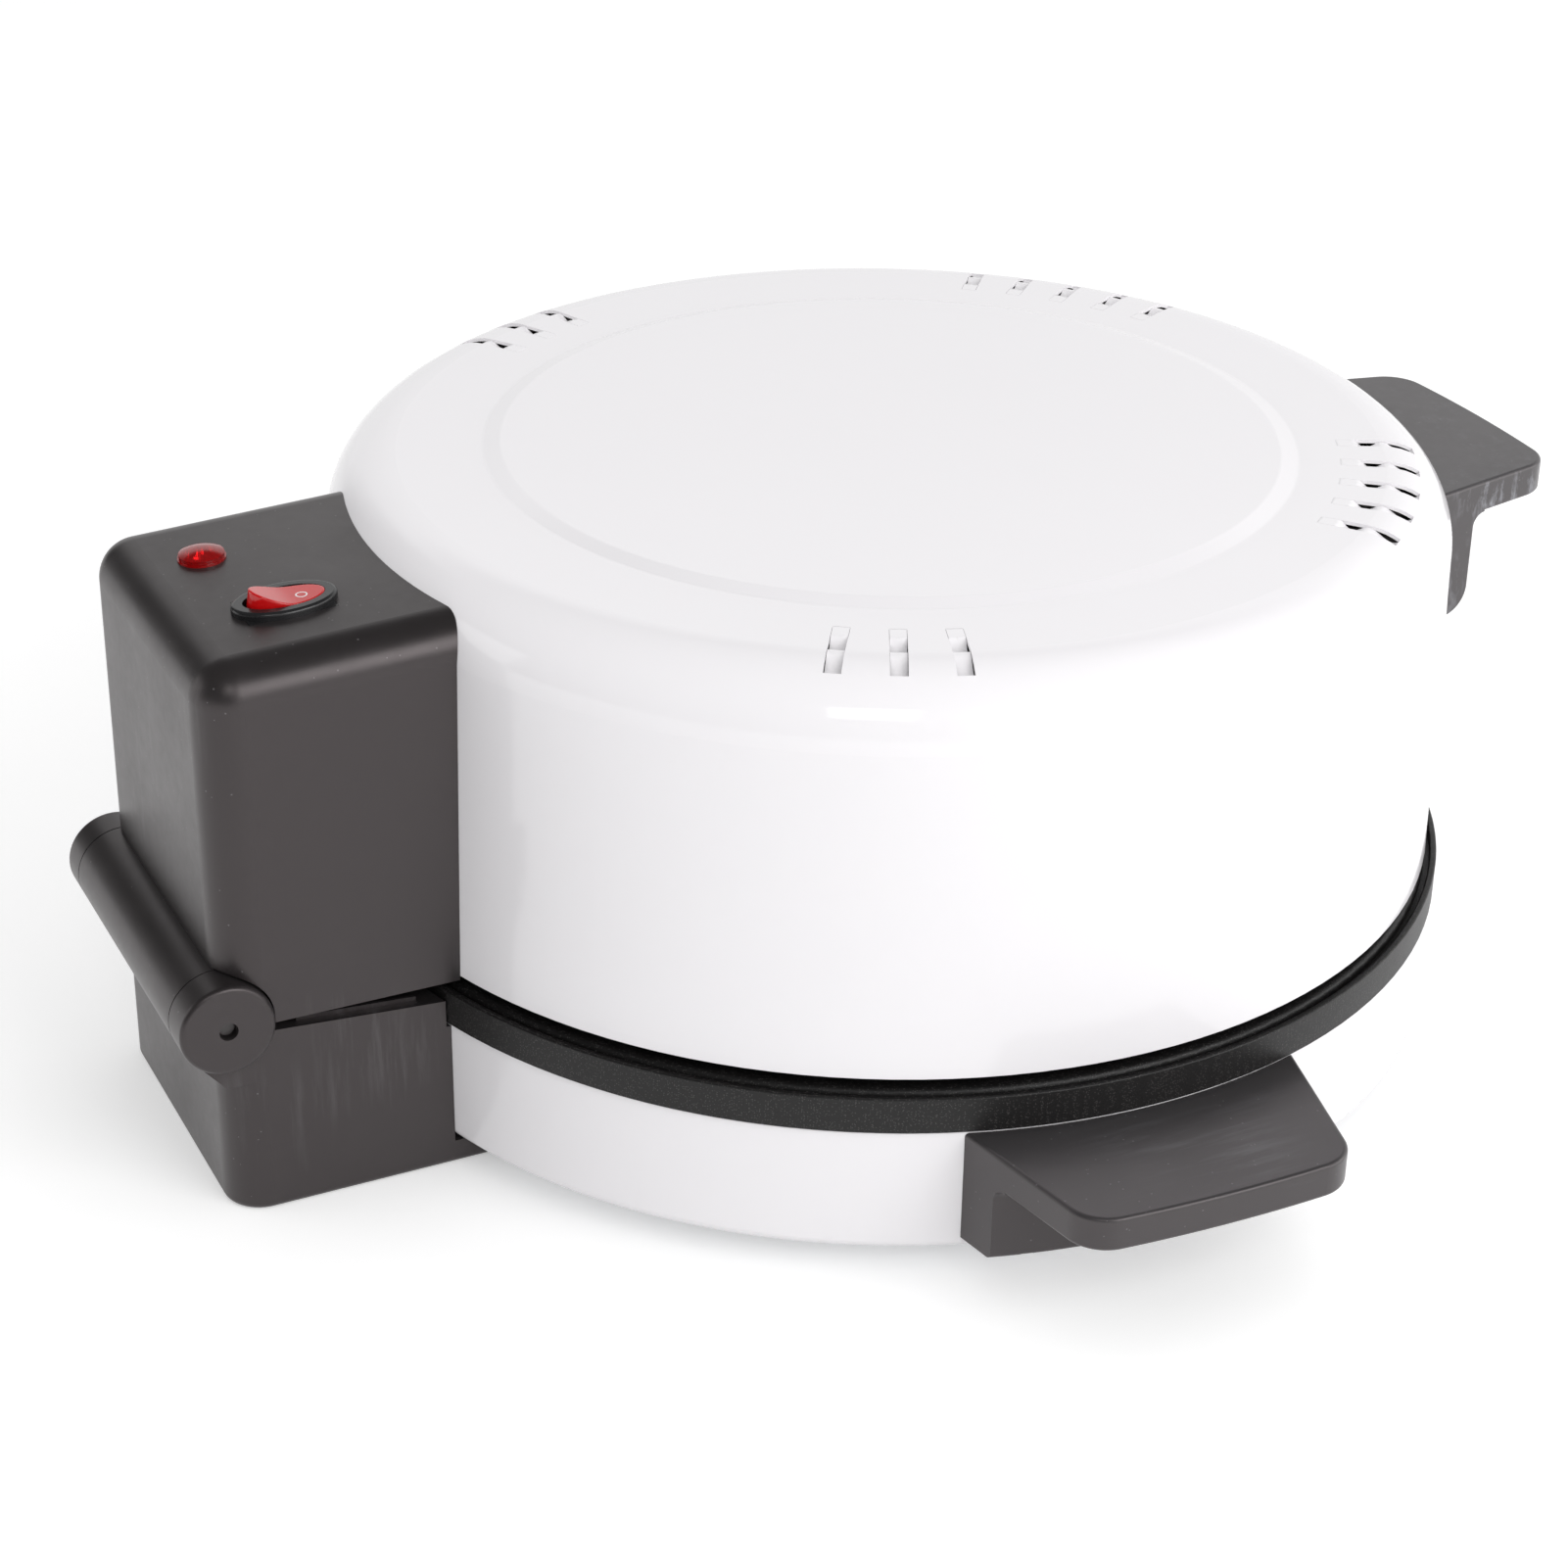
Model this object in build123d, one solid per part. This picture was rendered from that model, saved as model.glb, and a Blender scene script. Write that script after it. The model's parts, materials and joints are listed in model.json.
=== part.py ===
from build123d import *
import math
import os

# Electric pizza maker, millimetres, +Z up. The origin lies on the counter, on the drum's axis.
# The hinge is at the back (+Y), the lid handle in front (-Y), the base handles left and right.

# Drum of the base
drum_radius = 165.0
drum_height = 37.0
drum_bottom_z = 8.4
drum_wall = 1.0
drum_bottom_fillet = 3.0
drum_top_lip = 4.0
drum_bottom_lip = 16.0

# Bottom cover and feet
cover_thickness = 1.0
cover_edge_gap = 5.0
vent_count = 12
vent_length = 26.0
vent_width = 4.0
vent_circle_radius = 70.0
foot_inset = 33.0
foot_radius = 10.0
foot_taper = 2.0
foot_fillet = 1.2
foot_screw_seat = 4.5
foot_well_clearance = 0.6
foot_count = 4
first_foot_angle = 45.0

# Baking plate
plate_overhang = 1.0
plate_rim_height = 10.3
plate_rim_width = 2.0
plate_rim_chamfer = 0.6
plate_groove_depth = 2.2
plate_groove_width = 1.6
plate_bead_width = 9.0
plate_bead_rise = 0.4
plate_bead_rounding = 3.6
plate_bead_outer_rounding = 2.2
plate_slope_run = 7.4
plate_floor_drop = 11.0
plate_floor_rounding = 4.0
plate_under_rounding = 3.0
plate_thickness = 2.5

# Lower reflector
reflector_inset = 7.0
reflector_depth = 22.0
reflector_wall = 0.8
reflector_fillet = 4.0
reflector_lip_gap = 0.5

# Heating elements
element_tube_radius = 3.3
element_ring_radius = 100.0
element_gap_half = 12.0
element_bend_radius = 10.0
element_leg_out = 2.0
element_seat_gap = 0.1
element_hole_clearance = 1.0
insulator_radius = 5.0
insulator_length = 9.0
terminal_radius = 1.5
terminal_length = 7.0
terminal_fit = 0.05
clip_width = 10.0
clip_fit = 0.25
clamp_thickness = 1.0
clamp_foot = 7.0
clamp_angles = (0.0, 105.0, 255.0)

# Thermostat
thermostat_y = 45.0
thermostat_radius = 8.5
thermostat_height = 5.0
thermostat_flange_radius = 12.0
thermostat_flange_height = 1.2
thermostat_blade = (6.0, 0.8, 6.0)
thermostat_blade_spacing = 8.0

# Lid shell
lid_inset = 2.5
lid_gap = 4.0
lid_height = 112.7
lid_wall = 1.0
lid_draft = 1.2
lid_corner_radius = 20.0
plateau_inset = 46.5
plateau_band = 5.0
plateau_rise = 1.3
plateau_rounding = 3.0
slot_width = 4.6
slot_inset = 12.5
slot_length = 22.0
slot_depth = 7.0
slot_pitch = 6.4
front_slot_angle = 38.5
front_slot_count = 5
back_slot_angle = 116.5
back_slot_count = 3
strip_side_gap = 0.1
strip_root = 0.4
strip_dip_places = (0.24, 0.39, 0.56, 0.88)
strip_dips = (0.0, 2.3, 0.6, 2.4)

# Inner lid, brackets of its element
liner_gap = 7.0
liner_top_gap = 9.0
liner_wall = 0.8
liner_corner_radius = 14.0
liner_flange_lift = 1.0
liner_fit = 0.1
upper_element_drop = 17.7
bracket_thickness = 1.2

# Hinge
hinge_reach = 55.5
hinge_lift = 5.0
barrel_radius = 13.2
barrel_half_length = 43.0
ear_gap = 0.4
ear_end = 54.0
ear_edge_radius = 1.5
ear_web_angle = 40.0
knuckle_clearance = 0.5
pin_radius = 2.0
pin_clearance = 0.05
pin_recess = 2.0
pin_counterbore_radius = 2.6
pin_counterbore_depth = 3.0

# Upper hinge housing
housing_wall = 2.5
upper_half_width = 51.0
upper_back_overhang = 0.5
upper_bottom_lift = 2.8
upper_top_drop = 7.6
upper_top_slope = 2.7
upper_corner_radius = 11.5
upper_top_radius = 11.0
seat_clearance = 0.1

# Lower hinge housing
lower_half_width = 50.3
lower_back_overhang = 0.5
lower_front_drop = 3.2
lower_back_drop = 4.0
lower_corner_radius = 11.0
lower_bottom_radius = 2.0
lower_tongue_reach = 30.0
rim_clearance = 0.4
lip_height = 1.2
lip_inset = 3.2
lip_width = 1.2
lip_root = 1.0
lip_start = 1.0
lip_length = 34.0

# Covers of the housings
housing_cover_thickness = 2.0
housing_cover_recess = 1.0
housing_cover_gap = 0.2

# Screws
screw_radius = 2.0
screw_head_radius = 3.8
screw_head_height = 2.0
screw_head_rounding = 0.8
screw_slot_width = 1.0
screw_slot_depth = 0.8
screw_hole_clearance = 0.1
housing_screw_x = 36.0
housing_screw_length = 10.0
housing_boss_radius = 4.5
housing_boss_depth = 14.0
boss_floor = 1.0
housing_rib_thickness = 2.4
upper_screw_lifts = (24.7, 75.7)
lower_screw_lift = 18.0

# Indicator lamp
lamp_x = 19.5
lamp_reach = 35.5
lamp_radius = 6.2
lamp_rise = 2.4
lamp_edge_height = 1.1
lamp_stem_radius = 3.8
lamp_stem_length = 6.0
lamp_flange_radius = 6.6
lamp_flange_height = 0.5
lamp_body_radius = 5.0
lamp_body_length = 17.0
lamp_fit = 0.1
lamp_nut_radius = 7.5
lamp_nut_height = 2.5

# Rocker switch
switch_x = -18.5
switch_reach = 25.0
bezel_half_length = 14.4
bezel_half_width = 9.2
bezel_height = 2.2
bezel_fillet = 1.0
switch_body_half_length = 12.2
switch_body_half_width = 7.9
switch_body_depth = 14.0
switch_floor = 3.0
switch_fit = 0.1
rocker_half_length = 10.4
rocker_half_width = 5.8
rocker_side_clearance = 0.5
rocker_end_clearance = 0.8
rocker_pivot_depth = 1.0
rocker_throw = 22.0
rocker_face_rise = 1.2
rocker_skirt = 5.0
rocker_pin_radius = 1.0
rocker_pin_clearance = 0.06
rocker_pin_reach = 1.0
switch_blade = (0.8, 6.3, 8.0)
switch_blade_spacing = 7.0

# Handles
handle_reach = 43.5
side_handle_angle = 91.8
handle_root_half_width = 48.8
handle_side_slope = 0.21
handle_grip_thickness = 10.0
handle_corner_radius = 12.0
handle_edge_radius = 1.2
handle_end_bulge = 1.8
handle_inner_fillet = 4.0
fillet_room = 0.01
handle_seat_gap = 0.1
base_grip_drop = 0.2
base_skirt_thickness = 11.0
base_skirt_height = 33.0
base_skirt_round = 1.5
lid_grip_drop = 26.7
lid_skirt_thickness = 20.0
lid_skirt_height = 41.0
lid_skirt_round = 8.0
handle_screw_spacing = 50.0
handle_screw_length = 8.0
handle_screw_drop = 21.0

# Terminal block and cord bushing
block_size = (34.0, 14.0, 15.0)
block_inset = 29.0
block_way_radius = 2.2
block_way_height = 9.0
block_ways = 3
bushing_radius = 6.5
bushing_flange_radius = 9.5
bushing_flange = 2.0
bushing_flange_rounding = 0.8
bushing_bore = 3.5
bushing_tail = 5.0
bushing_inset = 31.0
bushing_lift = 17.6
bushing_fit = 0.1

# How far cutters run past a face
overrun = 1.0

# Places worked out from the sizes above
drum_top_z = drum_bottom_z + drum_height
cover_bottom_z = drum_bottom_z - cover_thickness
foot_circle_radius = drum_radius - foot_inset
foot_angles = [first_foot_angle + i * 360 / foot_count for i in range(foot_count)]
plate_rim_radius = drum_radius + plate_overhang
rim_bottom_z = drum_top_z + reflector_wall
rim_top_z = rim_bottom_z + plate_rim_height
bead_top_z = rim_top_z + plate_bead_rise
bead_outer_radius = plate_rim_radius - plate_rim_width - plate_groove_width
bead_inner_radius = bead_outer_radius - plate_bead_width
plate_floor_radius = bead_inner_radius - plate_slope_run
plate_floor_z = rim_top_z - plate_floor_drop
plate_under_z = plate_floor_z - plate_thickness
lower_element_z = plate_under_z - element_tube_radius - element_seat_gap
reflector_radius = drum_radius - reflector_inset
lid_radius = drum_radius - lid_inset
lid_edge_z = rim_top_z + lid_gap
lid_top_z = lid_edge_z + lid_height
plateau_radius = lid_radius - plateau_inset
slot_outer_radius = lid_radius - slot_inset
slot_inner_radius = slot_outer_radius - slot_length
liner_radius = lid_radius - liner_gap
liner_top_z = lid_top_z - liner_top_gap
liner_ceiling_z = liner_top_z - liner_wall
upper_element_z = liner_ceiling_z - upper_element_drop
hinge_axis_y = drum_radius + hinge_reach
hinge_axis_z = rim_top_z + hinge_lift
upper_back_y = hinge_axis_y + upper_back_overhang
upper_bottom_z = rim_top_z + upper_bottom_lift
upper_top_z = lid_top_z - upper_top_drop
lower_back_y = hinge_axis_y + lower_back_overhang
lower_front_top_z = rim_top_z - lower_front_drop
lower_back_top_z = hinge_axis_z - lower_back_drop
lower_tongue_y = drum_radius - lower_tongue_reach
lip_start_y = drum_radius + lip_start
lip_end_y = lip_start_y + lip_length
lower_screw_z = drum_bottom_z + lower_screw_lift
lamp_y = lid_radius + lamp_reach
switch_y = lid_radius + switch_reach
handle_end_radius = drum_radius + handle_reach
base_grip_top_z = drum_top_z - base_grip_drop
lid_grip_top_z = lid_top_z - lid_grip_drop
block_y = lower_back_y - block_inset
bushing_y = lower_back_y - bushing_inset
bushing_z = drum_bottom_z + bushing_lift
reach = drum_radius + overrun


def outline(points):
    """Closed face in the XZ plane. A point is (r, z) or (r, z, corner radius)."""
    face = make_face(Polyline(*[(p[0], p[1]) for p in points], close=True))
    for p in points:
        if len(p) == 3:
            corner = face.vertices().sort_by_distance((p[0], p[1], 0))[0]
            face = fillet(corner, p[2])
    return Plane.XZ * face


def turned(points):
    """Solid turned about the drum's axis."""
    return revolve(outline(points), axis=Axis.Z)


def polar(radius, angle):
    """Point at an angle counted from the front (-Y) towards +X."""
    a = math.radians(angle)
    return radius * math.sin(a), -radius * math.cos(a)


def along_x(radius, x0, x1, y, z):
    """Cylinder along X."""
    return Pos((x0 + x1) / 2, y, z) * Rot(0, 90, 0) * Cylinder(radius, abs(x1 - x0))


def along_y(radius, y0, y1, x, z):
    """Cylinder along Y."""
    return Pos(x, (y0 + y1) / 2, z) * Rot(90, 0, 0) * Cylinder(radius, y1 - y0)


def upright(radius, z0, z1, x=0.0, y=0.0):
    """Cylinder along Z."""
    return Pos(x, y, (z0 + z1) / 2) * Cylinder(radius, z1 - z0)


def block(x0, x1, y0, y1, z0, z1):
    """Box between two corners."""
    return Pos((x0 + x1) / 2, (y0 + y1) / 2, (z0 + z1) / 2) * Box(x1 - x0, y1 - y0, z1 - z0)


def facing(solid, angle):
    """Turn something built for the front so that it faces another way."""
    return Rot(0, 0, angle) * solid


def across(points, half_width):
    """Prism along X with a (y, z) outline, reaching the same way to both sides."""
    face = Plane.YZ * make_face(Polyline(*points, close=True))
    return extrude(face, half_width, both=True)


# Screws and their places

def handle_screw_places(grip_top_z):
    """Sideways place and height of the two screws of a handle."""
    return [(side * handle_screw_spacing / 2, grip_top_z - handle_screw_drop) for side in (-1, 1)]


def upper_screw_places():
    """Sideways place and height of each screw of the upper housing."""
    heights = [upper_bottom_z + lift for lift in upper_screw_lifts]
    return [(side * housing_screw_x, z) for side in (-1, 1) for z in heights]


def lower_screw_places():
    """Sideways place and height of each screw of the lower housing."""
    return [(side * housing_screw_x, lower_screw_z) for side in (-1, 1)]


def inner_wall_seat(radius, x):
    """How far out a flat screw head can sit inside a round wall."""
    return math.sqrt(radius ** 2 - (abs(x) + screw_head_radius) ** 2)


def wall_screw(inner_radius, x, z, length):
    """Slotted pan head screw that goes out through a round wall towards -Y."""
    seat = -inner_wall_seat(inner_radius, x)
    back = seat + screw_head_height
    head = along_y(screw_head_radius, seat, back, x, z)
    head = fillet(head.edges().filter_by(GeomType.CIRCLE).sort_by(Axis.Y)[-1], screw_head_rounding)
    slot = block(x - screw_head_radius, x + screw_head_radius, back - screw_slot_depth, back,
                 z - screw_slot_width / 2, z + screw_slot_width / 2)
    return head - slot + along_y(screw_radius, seat - length, seat, x, z)


def screw_holes(places, depth=reach):
    """Clearance holes towards -Y for a set of screws."""
    return [along_y(screw_radius + screw_hole_clearance, -depth, 0, x, z) for x, z in places]


def handle_screws(inner_radius, grip_top_z):
    """The two screws of one handle, for a handle in front."""
    return [wall_screw(inner_radius, x, z, handle_screw_length) for x, z in handle_screw_places(grip_top_z)]


# Base

def base_shell():
    """Pressed steel drum with a lip at its top and its bottom."""
    r, z0, z1, w = drum_radius, drum_bottom_z, drum_top_z, drum_wall
    drum = turned([(0, z0), (r, z0, drum_bottom_fillet), (r, z1), (0, z1)])
    drum -= turned([(0, z0 + w), (r - w, z0 + w, drum_bottom_fillet - w), (r - w, z1 - w), (0, z1 - w)])
    drum -= upright(r - drum_top_lip, z1 - 2 * w, z1 + w)
    drum -= upright(r - drum_bottom_lip, z0 - w, z0 + 2 * w)
    for side in (-1, 1):
        holes = screw_holes(handle_screw_places(base_grip_top_z))
        drum -= [facing(hole, side * side_handle_angle) for hole in holes]
    drum -= [facing(hole, 180) for hole in screw_holes(lower_screw_places())]
    drum -= leg_passages(lower_element_z, r)
    return drum


def bottom_cover():
    """Pressed steel bottom with a ring of vents."""
    z0, z1 = cover_bottom_z, drum_bottom_z
    cover = upright(drum_radius - cover_edge_gap, z0, z1)
    slot = extrude(SlotOverall(vent_length, vent_width), cover_thickness + 2 * overrun)
    slot = Pos(0, 0, z0 - overrun) * slot
    for i in range(vent_count):
        angle = i * 360 / vent_count
        cover -= Pos(*polar(vent_circle_radius, angle)) * Rot(0, 0, angle + 90) * slot
    for angle in foot_angles:
        place = polar(foot_circle_radius, angle)
        cover -= upright(screw_radius + screw_hole_clearance, z0 - overrun, z1 + overrun, *place)
    return cover


def rubber_foot(angle):
    """Tapered rubber foot with a well for its screw."""
    top = cover_bottom_z
    foot = turned([(0, 0), (foot_radius - foot_taper, 0, foot_fillet), (foot_radius, top), (0, top)])
    foot -= upright(screw_head_radius + foot_well_clearance, -overrun, foot_screw_seat)
    foot -= upright(screw_radius + screw_hole_clearance, 0, top + overrun)
    return Pos(*polar(foot_circle_radius, angle)) * foot


def foot_screw(angle):
    """Pan head screw up through a foot and the bottom cover."""
    head = upright(screw_head_radius, foot_screw_seat - screw_head_height, foot_screw_seat)
    head = fillet(head.edges().filter_by(GeomType.CIRCLE).sort_by(Axis.Z)[0], screw_head_rounding)
    screw = head + upright(screw_radius, foot_screw_seat, drum_bottom_z + screw_radius)
    return Pos(*polar(foot_circle_radius, angle)) * screw


def baking_plate():
    """Cast plate: outer wall, groove, rounded bead, sloping side and flat floor."""
    r, z0, z1 = plate_rim_radius, rim_bottom_z, rim_top_z
    wall_in = r - plate_rim_width
    groove_z = z1 - plate_groove_depth
    b0, b1 = bead_outer_radius, bead_inner_radius
    under_radius = plate_floor_radius + plate_thickness / 2
    return turned([
        (0, plate_under_z), (under_radius, plate_under_z, plate_under_rounding),
        (b1 + plate_thickness / 2, z0), (r, z0),
        (r, z1, plate_rim_chamfer), (wall_in, z1, plate_rim_chamfer), (wall_in, groove_z), (b0, groove_z),
        (b0, bead_top_z, plate_bead_outer_rounding), (b1, bead_top_z, plate_bead_rounding),
        (plate_floor_radius, plate_floor_z, plate_floor_rounding), (0, plate_floor_z)])


def lower_reflector():
    """Shallow aluminium pan under the element. Its lip is held between the drum and the plate."""
    r, z1, w = reflector_radius, drum_top_z, reflector_wall
    z0 = z1 - reflector_depth
    pan = turned([(0, z0), (r, z0, reflector_fillet), (r, z1), (0, z1)])
    pan += upright(drum_radius - reflector_lip_gap, z1, z1 + w)
    pan -= turned([(0, z0 + w), (r - w, z0 + w, reflector_fillet - w), (r - w, z1 + 2 * w), (0, z1 + 2 * w)])
    return pan - leg_passages(lower_element_z, r)


def leg_passages(z, wall_radius):
    """Passages through a round wall for the two legs of an element."""
    radius = element_tube_radius + element_hole_clearance
    start = wall_radius - element_gap_half - radius
    return [along_y(radius, start, wall_radius + overrun, side * element_gap_half, z) for side in (-1, 1)]


def heating_element(z, wall_radius):
    """Open ring of tube whose two ends bend outwards and run back through the wall."""
    ring, gap, bend = element_ring_radius, element_gap_half, element_bend_radius
    end_y = wall_radius + element_leg_out
    bend_x = gap + bend
    bend_y = math.sqrt((ring + bend) ** 2 - bend_x ** 2)
    touch_x, touch_y = bend_x * ring / (ring + bend), bend_y * ring / (ring + bend)
    turn = (math.pi + math.atan2(-bend_y, -bend_x) % (2 * math.pi)) / 2
    mid_x, mid_y = bend_x + bend * math.cos(turn), bend_y + bend * math.sin(turn)
    path = Wire([
        Edge.make_line((gap, end_y, z), (gap, bend_y, z)),
        Edge.make_three_point_arc((gap, bend_y, z), (mid_x, mid_y, z), (touch_x, touch_y, z)),
        Edge.make_three_point_arc((touch_x, touch_y, z), (0, -ring, z), (-touch_x, touch_y, z)),
        Edge.make_three_point_arc((-touch_x, touch_y, z), (-mid_x, mid_y, z), (-gap, bend_y, z)),
        Edge.make_line((-gap, bend_y, z), (-gap, end_y, z))])
    section = Plane(origin=(gap, end_y, z), z_dir=(0, -1, 0)) * Circle(element_tube_radius)
    return sweep(section, path=path)


def element_insulators(z, wall_radius):
    """Ceramic beads on the two ends of an element."""
    y0 = wall_radius + element_leg_out
    beads = []
    for side in (-1, 1):
        x, y1 = side * element_gap_half, y0 + insulator_length
        bead = along_y(insulator_radius, y0, y1, x, z)
        beads.append(bead - along_y(terminal_radius + terminal_fit, y0 - overrun, y1 + overrun, x, z))
    return beads


def element_terminals(z, wall_radius):
    """Steel pins through the ceramic beads."""
    y0 = wall_radius + element_leg_out
    return [along_y(terminal_radius, y0, y0 + insulator_length + terminal_length, side * element_gap_half, z)
            for side in (-1, 1)]


def around_tube(face, angle):
    """Strap of one width, from a section drawn in the radial plane in front, turned to its place."""
    return facing(extrude(Plane.YZ * face, clip_width / 2, both=True), angle)


def tube_section(z, thickness):
    """Section of a strap that closes round the tube of an element."""
    inner = element_tube_radius + clip_fit
    centre = Pos(-element_ring_radius, z)
    return centre * Circle(inner + thickness), centre * Circle(inner)


def element_clamp(angle):
    """Saddle strap that holds the lower element against the plate."""
    outer, inner = tube_section(lower_element_z, clamp_thickness)
    half = element_tube_radius + clip_fit + clamp_thickness
    x, top, height = -element_ring_radius, plate_under_z, plate_under_z - lower_element_z
    side = Pos(x, top - height / 2) * Rectangle(2 * half, height)
    foot = Pos(x, top - clamp_thickness / 2) * Rectangle(2 * (half + clamp_foot), clamp_thickness)
    hollow = Pos(x, top - height / 2) * Rectangle(2 * (half - clamp_thickness), height)
    above = Pos(x, top + half / 2) * Rectangle(2 * half, half)
    return around_tube(outer + side + foot - inner - hollow - above, angle)


def element_bracket(angle):
    """Hanger that carries the upper element from the ceiling of the inner lid."""
    outer, inner = tube_section(upper_element_z, bracket_thickness)
    top = liner_ceiling_z
    base = upper_element_z + element_tube_radius + clip_fit
    web = Pos(-element_ring_radius, (base + top) / 2) * Rectangle(bracket_thickness, top - base)
    foot = Pos(-element_ring_radius + clamp_foot / 2, top - bracket_thickness / 2) * Rectangle(
        clamp_foot + bracket_thickness, bracket_thickness)
    return around_tube(outer + web + foot - inner, angle)


def thermostat():
    """Snap disc thermostat against the underside of the plate."""
    top = plate_under_z
    bottom = top - thermostat_flange_height - thermostat_height
    body = upright(thermostat_flange_radius, top - thermostat_flange_height, top, 0, thermostat_y)
    body += upright(thermostat_radius, bottom, top - thermostat_flange_height, 0, thermostat_y)
    w, t, h = thermostat_blade
    for side in (-1, 1):
        x = side * thermostat_blade_spacing / 2
        body += block(x - t / 2, x + t / 2, thermostat_y - w / 2, thermostat_y + w / 2, bottom - h, bottom)
    return body


# Handles

def handle(wall, wall_radius, grip_top_z, skirt_thickness, skirt_height, skirt_round):
    """Moulded handle in front: a tapered grip plate over a skirt that follows the wall."""
    tip = -(handle_end_radius - handle_end_bulge)
    half = handle_root_half_width - handle_side_slope * (handle_end_radius - lid_radius)
    root_y = -(wall_radius - handle_root_half_width / 2)
    root_half = handle_root_half_width + handle_side_slope * (lid_radius + root_y)
    sides = Polyline((-half, tip), (-root_half, root_y), (root_half, root_y), (half, tip))
    end = ThreePointArc((half, tip), (0, -handle_end_radius), (-half, tip))
    plan = make_face([*sides.edges(), end.edge()])
    plan = fillet(plan.vertices().sort_by(Axis.Y)[:2], handle_corner_radius)
    grip_bottom = grip_top_z - handle_grip_thickness
    grip = Pos(0, 0, grip_bottom) * extrude(plan, handle_grip_thickness)
    skirt_radius = wall_radius + skirt_thickness
    skirt_bottom = grip_top_z - skirt_height
    middle = grip_top_z - handle_grip_thickness / 2
    flare = skirt_radius + handle_inner_fillet + fillet_room
    skirt = Pos(0, 0, skirt_bottom) * extrude(plan, middle - skirt_bottom)
    skirt &= turned([(0, skirt_bottom), (skirt_radius, skirt_bottom, skirt_round),
                     (skirt_radius, grip_bottom, handle_inner_fillet), (flare, grip_bottom), (flare, middle),
                     (0, middle)])
    body = fillet(grip.faces().sort_by(Axis.Z)[-1].edges(), handle_edge_radius)
    body = fillet(body.faces().sort_by(Axis.Z)[0].edges(), handle_edge_radius)
    body = body + skirt - wall
    depth = inner_wall_seat(wall_radius, handle_screw_spacing / 2) + handle_screw_length
    return body - screw_holes(handle_screw_places(grip_top_z), depth)


def base_handle():
    """Handle of the base, for the front."""
    wall = upright(drum_radius + handle_seat_gap, 0, drum_top_z + overrun)
    return handle(wall, drum_radius, base_grip_top_z, base_skirt_thickness, base_skirt_height,
                  base_skirt_round)


def lid_handle():
    """Handle of the lid."""
    wall_radius = lid_wall_radius(lid_grip_top_z)
    return handle(lid_form(-handle_seat_gap, lid_edge_z), wall_radius, lid_grip_top_z, lid_skirt_thickness,
                  lid_skirt_height, lid_skirt_round)


# Lower hinge housing

def lower_top_z(y):
    """Height of the sloping top of the lower housing."""
    front_y = drum_radius - drum_top_lip
    slope = (lower_back_top_z - lower_front_top_z) / (lower_back_y - front_y)
    return lower_front_top_z + slope * (y - front_y)


def lower_block(inset, bottom_z):
    """Body of the lower housing drawn in by a wall, rounded at its back corners."""
    y0, y1 = lower_tongue_y + inset, lower_back_y - inset
    z0, z1 = lower_top_z(y0) - inset, lower_top_z(y1) - inset
    body = across([(y0, bottom_z), (y1, bottom_z), (y1, z1), (y0, z0)], lower_half_width - inset)
    corners = body.edges().filter_by(Axis.Z).sort_by(Axis.Y)[-2:]
    return fillet(corners, lower_corner_radius - inset)


def hinge_ear(side):
    """Knuckle of the lower housing with a web down to the back wall."""
    x0 = barrel_half_length + ear_gap
    y, z, r = hinge_axis_y, hinge_axis_z, barrel_radius
    a = math.radians(-ear_web_angle)
    touch = (y + r * math.cos(a), z + r * math.sin(a))
    run = (touch[0] - lower_back_y) / -math.sin(a)
    foot = (lower_back_y, touch[1] - run * math.cos(a))
    inner_y = y - r
    web = Plane.YZ.offset(x0) * make_face(
        Polyline((y, z), touch, foot, (inner_y, foot[1]), (inner_y, z), close=True))
    ear = along_x(r, x0, ear_end, y, z)
    ear = fillet(ear.edges().filter_by(GeomType.CIRCLE).sort_by(Axis.X)[-1], ear_edge_radius)
    ear += extrude(web, lower_half_width - x0)
    ear -= along_x(pin_radius + pin_clearance, 0, ear_end + overrun, y, z)
    ear -= along_x(pin_counterbore_radius, ear_end - pin_counterbore_depth, ear_end + overrun, y, z)
    return ear if side > 0 else mirror(ear, Plane.YZ)


def lower_hinge_housing():
    """Moulded lower housing: tongue under the drum, sloping top, barrel trough and two ears."""
    body = lower_block(0.0, 0.0)
    sides = [e for e in body.faces().sort_by(Axis.Z)[0].edges() if e.center().Y > lower_tongue_y + overrun]
    body = fillet(sides, lower_bottom_radius)
    drum = drum_radius + seat_clearance
    body -= upright(drum, cover_bottom_z, lower_back_y)
    body -= upright(plate_rim_radius + rim_clearance, drum_top_z - rim_clearance, lower_back_y)
    trough = barrel_half_length + ear_gap
    y, z = hinge_axis_y, hinge_axis_z
    body -= along_x(barrel_radius + knuckle_clearance, -trough, trough, y, z)
    hollow = lower_block(housing_wall, -overrun)
    hollow -= upright(drum, cover_bottom_z - housing_wall, lower_back_y)
    wall = housing_wall
    hollow -= along_x(barrel_radius + knuckle_clearance + wall, -trough - wall, trough + wall, y, z)
    body -= hollow
    body += [lower_boss(x, z) for x, z in lower_screw_places()]
    body += [lower_lip(side) for side in (-1, 1)]
    body += [hinge_ear(side) for side in (-1, 1)]
    depth = boss_end(drum_radius) - boss_floor
    body -= [facing(hole, 180) for hole in screw_holes(lower_screw_places(), depth)]
    body -= along_x(bushing_radius + bushing_fit, lower_half_width - 2 * housing_wall,
                    lower_half_width + overrun, bushing_y, bushing_z)
    return body


def boss_end(wall_radius):
    """How far back the screw bosses of a housing reach."""
    return wall_radius - housing_boss_radius + housing_boss_depth


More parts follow.
